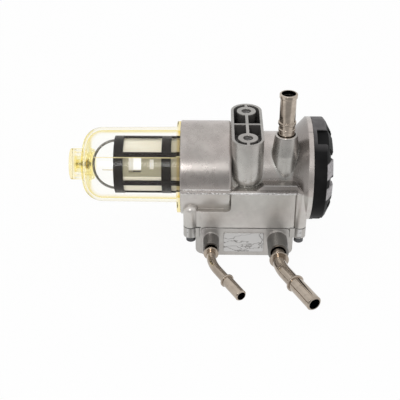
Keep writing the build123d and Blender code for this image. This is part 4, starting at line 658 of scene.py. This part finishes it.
def warm_nickel(name, light, bore_shade_mask):
    """Nickel plating; bore_shade_mask(maker, place) gives the inside of the bore, which gets painted shade.
    """
    material, maker = new_material(name)
    place = maker.node("ShaderNodeTexCoord", output="Object")
    cloud = noise(maker, place, nickel_cloud_scale, 3.0)
    smear = noise(maker, place, nickel_smear_scale, 3.0)
    rings = bands(maker, place, "Z", nickel_ring_scale, 1.5)
    color = cloud.ramp(0.35, 0.65).mix(nickel_dark, light)
    color = (smear.ramp(0.58, 0.75) * 0.6).mix(color, nickel_smear)
    edge = soft_edge(maker, nickel_edge_round)
    close_material(maker, maker.node("ShaderNodeBsdfPrincipled", inputs={
        "Base Color": bore_shade_mask(maker, place).mix(color, nickel_bore_shade),
        "Metallic": 1.0,
        "Roughness": smear.ramp(0.4, 0.7) * 0.06 + 0.10,
        "Normal": (rings * 0.4 + smear * 0.6).bump(nickel_ring_height, 0.06, edge)}))
    return material


def nipple_bore(maker, place):
    """The upright bore of the nipple, which gets painted shade."""
    x, y = split(maker, place)[:2]
    return (x - nipple_x).length(y - nipple_y).below(*nipple_bore_reach)


def tube_bore(end, heading, bore):
    """The bore in the straight end of a tube, from its open end and heading, which gets painted shade."""
    def mask(maker, place):
        x, y, z = split(maker, place)
        sideways = (x - end.x) * heading.y - (y - end.y) * heading.x
        inward = (end.x - x) * heading.x + (end.y - y) * heading.y
        inside = sideways.length(z - end.z).below(bore, bore + tube_bore_blur)
        return inside * inward.between(*tube_bore_depths)
    return mask


dress("hose_nipple", warm_nickel("nipple_nickel", nipple_nickel, nipple_bore))
dress("small_tube", warm_nickel("small_tube_nickel", small_tube_nickel, tube_bore(
    small_tube_end, small_tube_heading, small_tube_bore)))
dress("large_tube", warm_nickel("large_tube_nickel", large_tube_nickel, tube_bore(
    large_tube_end, large_tube_heading, large_tube_bore)))


# Filter cap: moulded of black glass-filled plastic with a fine grain, and screwed into the filter
# barrel. The top of its rim has a painted highlight, and the two lugs at the front have paler,
# mottled faces.
plastic_black = (0.006, 0.006, 0.0062, 1.0)
plastic_grain_scale = 1100.0
plastic_grain_height = 0.00012
filter_axis_z = -0.0427
lug_centre_z = -0.0404
lug_mottle_scale = 500.0
rim_highlight_scale = 160.0
cap_rim_reach = (0.0435, 0.0440)
cap_top_z = (-0.010, 0.001)
lug_face_x = (0.0658, 0.0662)
lug_front_y = (-0.024, -0.022)
lug_reach = (0.0262, 0.0275)
upper_lug_heights = (-0.0310, -0.0300, -0.0190, -0.0180)
lower_lug_heights = (-0.0500, -0.0490, -0.0385, -0.0375)


def cap_highlight_and_pale_lugs(maker, place):
    """Painted highlight along the top of the rim, and paler mottled faces on the two lugs at the front."""
    x, y, z = split(maker, place)
    lug_mottle = noise(maker, place, lug_mottle_scale, 3.0).ramp(0.30, 0.55)
    facet = x.ramp(*lug_face_x) * y.below(*lug_front_y) * y.length(z - lug_centre_z).ramp(*lug_reach)
    lugs = z.between(*upper_lug_heights).more(z.between(*lower_lug_heights))
    rim = y.length(z - filter_axis_z).ramp(*cap_rim_reach)
    # Painted highlight along the top of the rim.
    top = z.ramp(*cap_top_z) * (noise(maker, place, rim_highlight_scale, 3.0) * 0.3 + 0.14) * rim
    return top.more(facet * lugs * (lug_mottle * 0.5 + 0.5))


dress("filter_cap", dull_skin(
    "cap_plastic", plastic_black, 0.40, 0.07, plastic_grain_scale, plastic_grain_height, cap_highlight_and_pale_lugs))


# Connector and terminals: a socket moulded of the same black plastic, with its flange against the
# back of the cover, and two flat bronze blades that bring the pump its current.
bronze_color = (0.66, 0.47, 0.22, 1.0)
dress("connector", dull_skin(
    "connector_plastic", plastic_black, 0.40, 0.13, plastic_grain_scale, plastic_grain_height))
bronze = plain_metal("bronze", bronze_color, 1.0, 0.35)
dress("terminals", bronze)


# Water bowl: moulded of clear plastic, with a neck that is sealed in the housing's socket and a
# drain boss at its round end. The wall is pale yellow where it is seen on edge, and a cloudy mould
# seam runs along it.
bowl_edge = (0.80, 0.58, 0.04, 1.0)
bowl_tint = (0.985, 0.90, 0.10, 1.0)
bowl_gold_x = (-0.0600, -0.0590)
seam_gold = (0.98, 0.84, 0.46, 1.0)
boss_clear = (0.99, 0.96, 0.80, 1.0)
bowl_axis_z = -0.0404
seam_turn = radians(140.4)
seam_half_width = (0.0003, 0.0005)
seam_reach = (0.0318, 0.0324)
outer_wall_reach = (0.0308, 0.0318)
drain_boss_ends = (-0.1420, -0.1410, -0.1334, -0.1330)
drain_boss_ring = (0.0085, 0.0095, 0.0165, 0.0170)
drain_core_reach = (0.0055, 0.0065)
dome_end_x = (-0.1405, -0.1385)
dome_end_reach = (0.0230, 0.0270)
clear_ripple_scale = 60.0
clear_ripple_height = 0.0002
boss_veil = 0.85
dome_end_veil = 0.9
seam_cloud = 0.8


def clear_plastic(name, index, edge_tint, tint, density, gold_range, end_veil):
    """Clear plastic with a tint on edge; end_veil is how plainly the round end lets light through."""
    material, maker = new_material(name)
    place = maker.node("ShaderNodeTexCoord", output="Object")
    x, y, z = split(maker, place)
    up = z - bowl_axis_z
    outward = y.length(up)
    on_edge = maker.node("ShaderNodeLayerWeight", inputs={"Blend": 0.25}, output="Facing")
    on_edge = on_edge.ramp(0.30, 0.52) * (1.0 - outward.ramp(*outer_wall_reach) * 0.65)
    glassy = maker.node("ShaderNodeBsdfPrincipled", inputs={
        "Base Color": (on_edge + x.ramp(*gold_range) * 0.45).mix(plain_white, edge_tint),
        "Roughness": 0.02, "IOR": index, "Transmission Weight": 1.0,
        "Normal": noise(maker, place, clear_ripple_scale, 2.0).bump(clear_ripple_height, 0.01)})
    cloudy = maker.node("ShaderNodeBsdfPrincipled", inputs={"Base Color": seam_gold, "Roughness": 0.3})
    clear = maker.node("ShaderNodeBsdfTransparent", inputs={"Color": boss_clear})
    seam = abs(y * sin(seam_turn) - up * cos(seam_turn)).below(*seam_half_width) * outward.ramp(*seam_reach)
    boss = x.between(*drain_boss_ends) * outward.between(*drain_boss_ring)
    core = outward.below(*drain_core_reach)
    end = x.below(*dome_end_x) * outward.below(*dome_end_reach)
    veil = (boss * boss_veil).more(core * boss_veil).more(end * end_veil)
    veiled = mix_shaders(maker, veil, glassy, clear)
    volume = maker.node("ShaderNodeVolumeAbsorption", inputs={"Color": tint, "Density": density})
    close_material(maker, mix_shaders(maker, seam * seam_cloud, veiled, cloudy), volume)
    return material


dress("bowl", clear_plastic("bowl_plastic", 1.18, bowl_edge, bowl_tint, 7.0, bowl_gold_x, dome_end_veil))


# Drain knob and drain stem: the knob is a cup with finger grips, moulded of the same clear plastic
# and golden in its thick end, that turns on the bowl's drain neck. The stem is a ground steel pin.
knob_edge = (0.98, 0.80, 0.28, 1.0)
knob_tint = (0.98, 0.86, 0.05, 1.0)
knob_gold_x = (-0.1500, -0.1515)
ground_steel = (0.50, 0.49, 0.46, 1.0)
dress("drain_knob", clear_plastic("knob_plastic", 1.12, knob_edge, knob_tint, 8.0, knob_gold_x, 0.0))
stem_steel = plain_metal("stem_steel", ground_steel, 1.0, 0.3)
dress("drain_stem", stem_steel)


# Strainer cage: two bands joined by ribs, moulded of black plastic in one piece around the screen.
# The hoop is one bent steel wire with both feet in the left band.
cage_black = (0.010, 0.0070, 0.0055, 1.0)
hoop_steel = (0.22, 0.21, 0.19, 1.0)
dress("strainer_cage", dull_skin("cage_plastic", cage_black, 0.32, 0.20))
dress("wire_hoop", plain_metal("hoop_wire", hoop_steel, 0.9, 0.35))


# Strainer screen: a moulded tube of cream film with windows, whose collar seats in the housing. It
# is woven fine and lets light through, with a darker strip along its front and a browner neck.
film_pale = (1.0, 0.955, 0.82, 1.0)
film_cream = (0.96, 0.89, 0.71, 1.0)
film_strip = (0.30, 0.27, 0.16, 1.0)
film_neck = (0.72, 0.64, 0.46, 1.0)
film_gap = (0.995, 0.975, 0.91, 1.0)
front_half_y = (-0.001, 0.001)
strip_heights = (-0.0396, -0.0391, -0.0240, -0.0235)
neck_x = (-0.0660, -0.0640)
weave_scale = 300.0
film_cloud_scale = 40.0
screen_film, maker = new_material("screen_film")
film_place = maker.node("ShaderNodeTexCoord", output="Object")
film_x, film_y, film_z = split(maker, film_place)
weave = bands(maker, film_place, "X", weave_scale)
front_half = film_y.below(*front_half_y)
film_color = noise(maker, film_place, film_cloud_scale, 3.0).ramp(0.3, 0.7).mix(film_cream, film_pale)
film_color = (front_half * film_z.between(*strip_heights) * 0.85).mix(film_color, film_strip)
film_color = (film_x.ramp(*neck_x) * 0.6).mix(film_color, film_neck)
film_threads = maker.node("ShaderNodeBsdfPrincipled", inputs={
    "Base Color": film_color, "Roughness": weave * 0.1 + 0.45})
film_gaps = maker.node("ShaderNodeBsdfPrincipled", inputs={
    "Base Color": film_gap, "Roughness": 0.4, "IOR": 1.1, "Transmission Weight": 1.0})
# Painted light: the far half is less closed than the near half, so more light shows through it.
film_cover = front_half * 0.70 + weave * 0.03 + 0.24
close_material(maker, mix_shaders(maker, film_cover, film_gaps, film_threads))
dress("strainer_screen", screen_film)


# Filter element: pleated paper between two moulded discs, around a perforated tube of tin plate.
# It slides on a turned aluminium standpipe in the barrel, and the cap draws it out.
paper_light = (0.74, 0.60, 0.38, 1.0)
paper_dark = (0.62, 0.50, 0.32, 1.0)
paper_glow = 0.2
fibre_scale = 500.0
paper_cloud_scale = 40.0
disc_black = (0.05, 0.05, 0.05, 1.0)
tin_color = (0.62, 0.62, 0.60, 1.0)
aluminium_color = (0.66, 0.66, 0.65, 1.0)
filter_paper, maker = new_material("filter_paper")
paper_place = maker.node("ShaderNodeTexCoord", output="Object")
fibres = bands(maker, paper_place, "X", fibre_scale)
paper_color = noise(maker, paper_place, paper_cloud_scale, 3.0).ramp(0.3, 0.7).mix(paper_dark, paper_light)
paper_face = maker.node("ShaderNodeBsdfPrincipled", inputs={
    "Base Color": paper_color, "Roughness": fibres * 0.1 + 0.45})
paper_through = maker.node("ShaderNodeBsdfTranslucent", inputs={"Color": paper_color})
close_material(maker, mix_shaders(maker, paper_glow, paper_face, paper_through))
dress("filter_media", filter_paper)
disc_plastic = dull_skin("disc_plastic", disc_black, 0.5)
for disc in ("filter_end_left", "filter_end_right"):
    dress(disc, disc_plastic)
dress("filter_core", plain_metal("tin_plate", tin_color, 1.0, 0.3))
turned_aluminium = plain_metal("turned_aluminium", aluminium_color, 1.0, 0.3)
dress("standpipe", turned_aluminium)


# Motor: a steel case with ferrite magnets, and an armature of slotted steel sheets and copper
# windings on a ground shaft in bronze bushes. Two carbon brushes in a moulded cap are pressed on
# the commutator by wire springs.
case_color = (0.50, 0.50, 0.48, 1.0)
sintered_color = (0.28, 0.28, 0.28, 1.0)
copper_color = (0.70, 0.30, 0.15, 1.0)
ferrite_color = (0.06, 0.06, 0.06, 1.0)
carbon_color = (0.03, 0.03, 0.03, 1.0)
brush_cap_color = (0.02, 0.02, 0.02, 1.0)
spring_color = (0.40, 0.40, 0.41, 1.0)
case_steel = plain_metal("case_steel", case_color, 1.0, 0.32)
dress("motor_case", case_steel)
dress("magnets", dull_skin("ferrite", ferrite_color, 0.5))
dress("motor_shaft", stem_steel)
sintered_steel = plain_metal("sintered_steel", sintered_color, 0.9, 0.45)
dress("armature_core", sintered_steel)
copper = plain_metal("copper", copper_color, 1.0, 0.3)
for conductor in ("windings", "commutator"):
    dress(conductor, copper)
dress("brushes", dull_skin("carbon", carbon_color, 0.6))
dress("brush_cap", dull_skin("brush_cap_plastic", brush_cap_color, 0.45))
spring_wire = plain_metal("spring_wire", spring_color, 1.0, 0.28)
dress("brush_springs", spring_wire)
dress("shaft_bushes", bronze)


# Gerotor pump: two sintered rotors turn in a steel ring, between an inlet plate and a discharge end
# of aluminium. The motor's shaft drives the inner rotor.
dress("gerotor_ring", case_steel)
for rotor in ("outer_rotor", "inner_rotor"):
    dress(rotor, sintered_steel)
for plate in ("discharge_end", "inlet_plate"):
    dress(plate, turned_aluminium)


# Relief valve and check valve: a ground poppet with a bronze plug in the discharge end, and a steel
# ball in the outlet gallery. Their springs are wound from hard wire and stand on seats in the base.
# Each gets shorter as its valve opens; a welded copy of each spring's coil replaces the rigid one.
coil_weld_distance = 0.000002
for ground in ("relief_poppet", "check_ball"):
    dress(ground, stem_steel)
dress("relief_plug", bronze)
for spring, joint, axis, seat, free_length, lift in (
    ("relief_spring", "relief_lift", (1, 0, 0), (-0.0380, 0.0190, -0.0960), 0.00410, 0.0012),
    ("check_spring", "check_lift", (0, 1, 0), (small_boss_x, -0.0403, tube_z), 0.02185, 0.0020),
):
    coil = bpy.data.objects.new(spring + "_coil", nodes[spring].data.copy())
    bpy.context.collection.objects.link(coil)
    coil.data.materials.clear()
    coil.data.materials.append(spring_wire)
    bpy.context.view_layer.objects.active = coil
    coil.select_set(True)
    bpy.ops.object.mode_set(mode="EDIT")
    bpy.ops.mesh.select_all(action="SELECT")
    bpy.ops.mesh.remove_doubles(threshold=coil_weld_distance)
    bpy.ops.object.mode_set(mode="OBJECT")
    bpy.ops.object.select_all(action="DESELECT")
    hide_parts(spring)
    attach(coil, "base")
    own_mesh(coil)
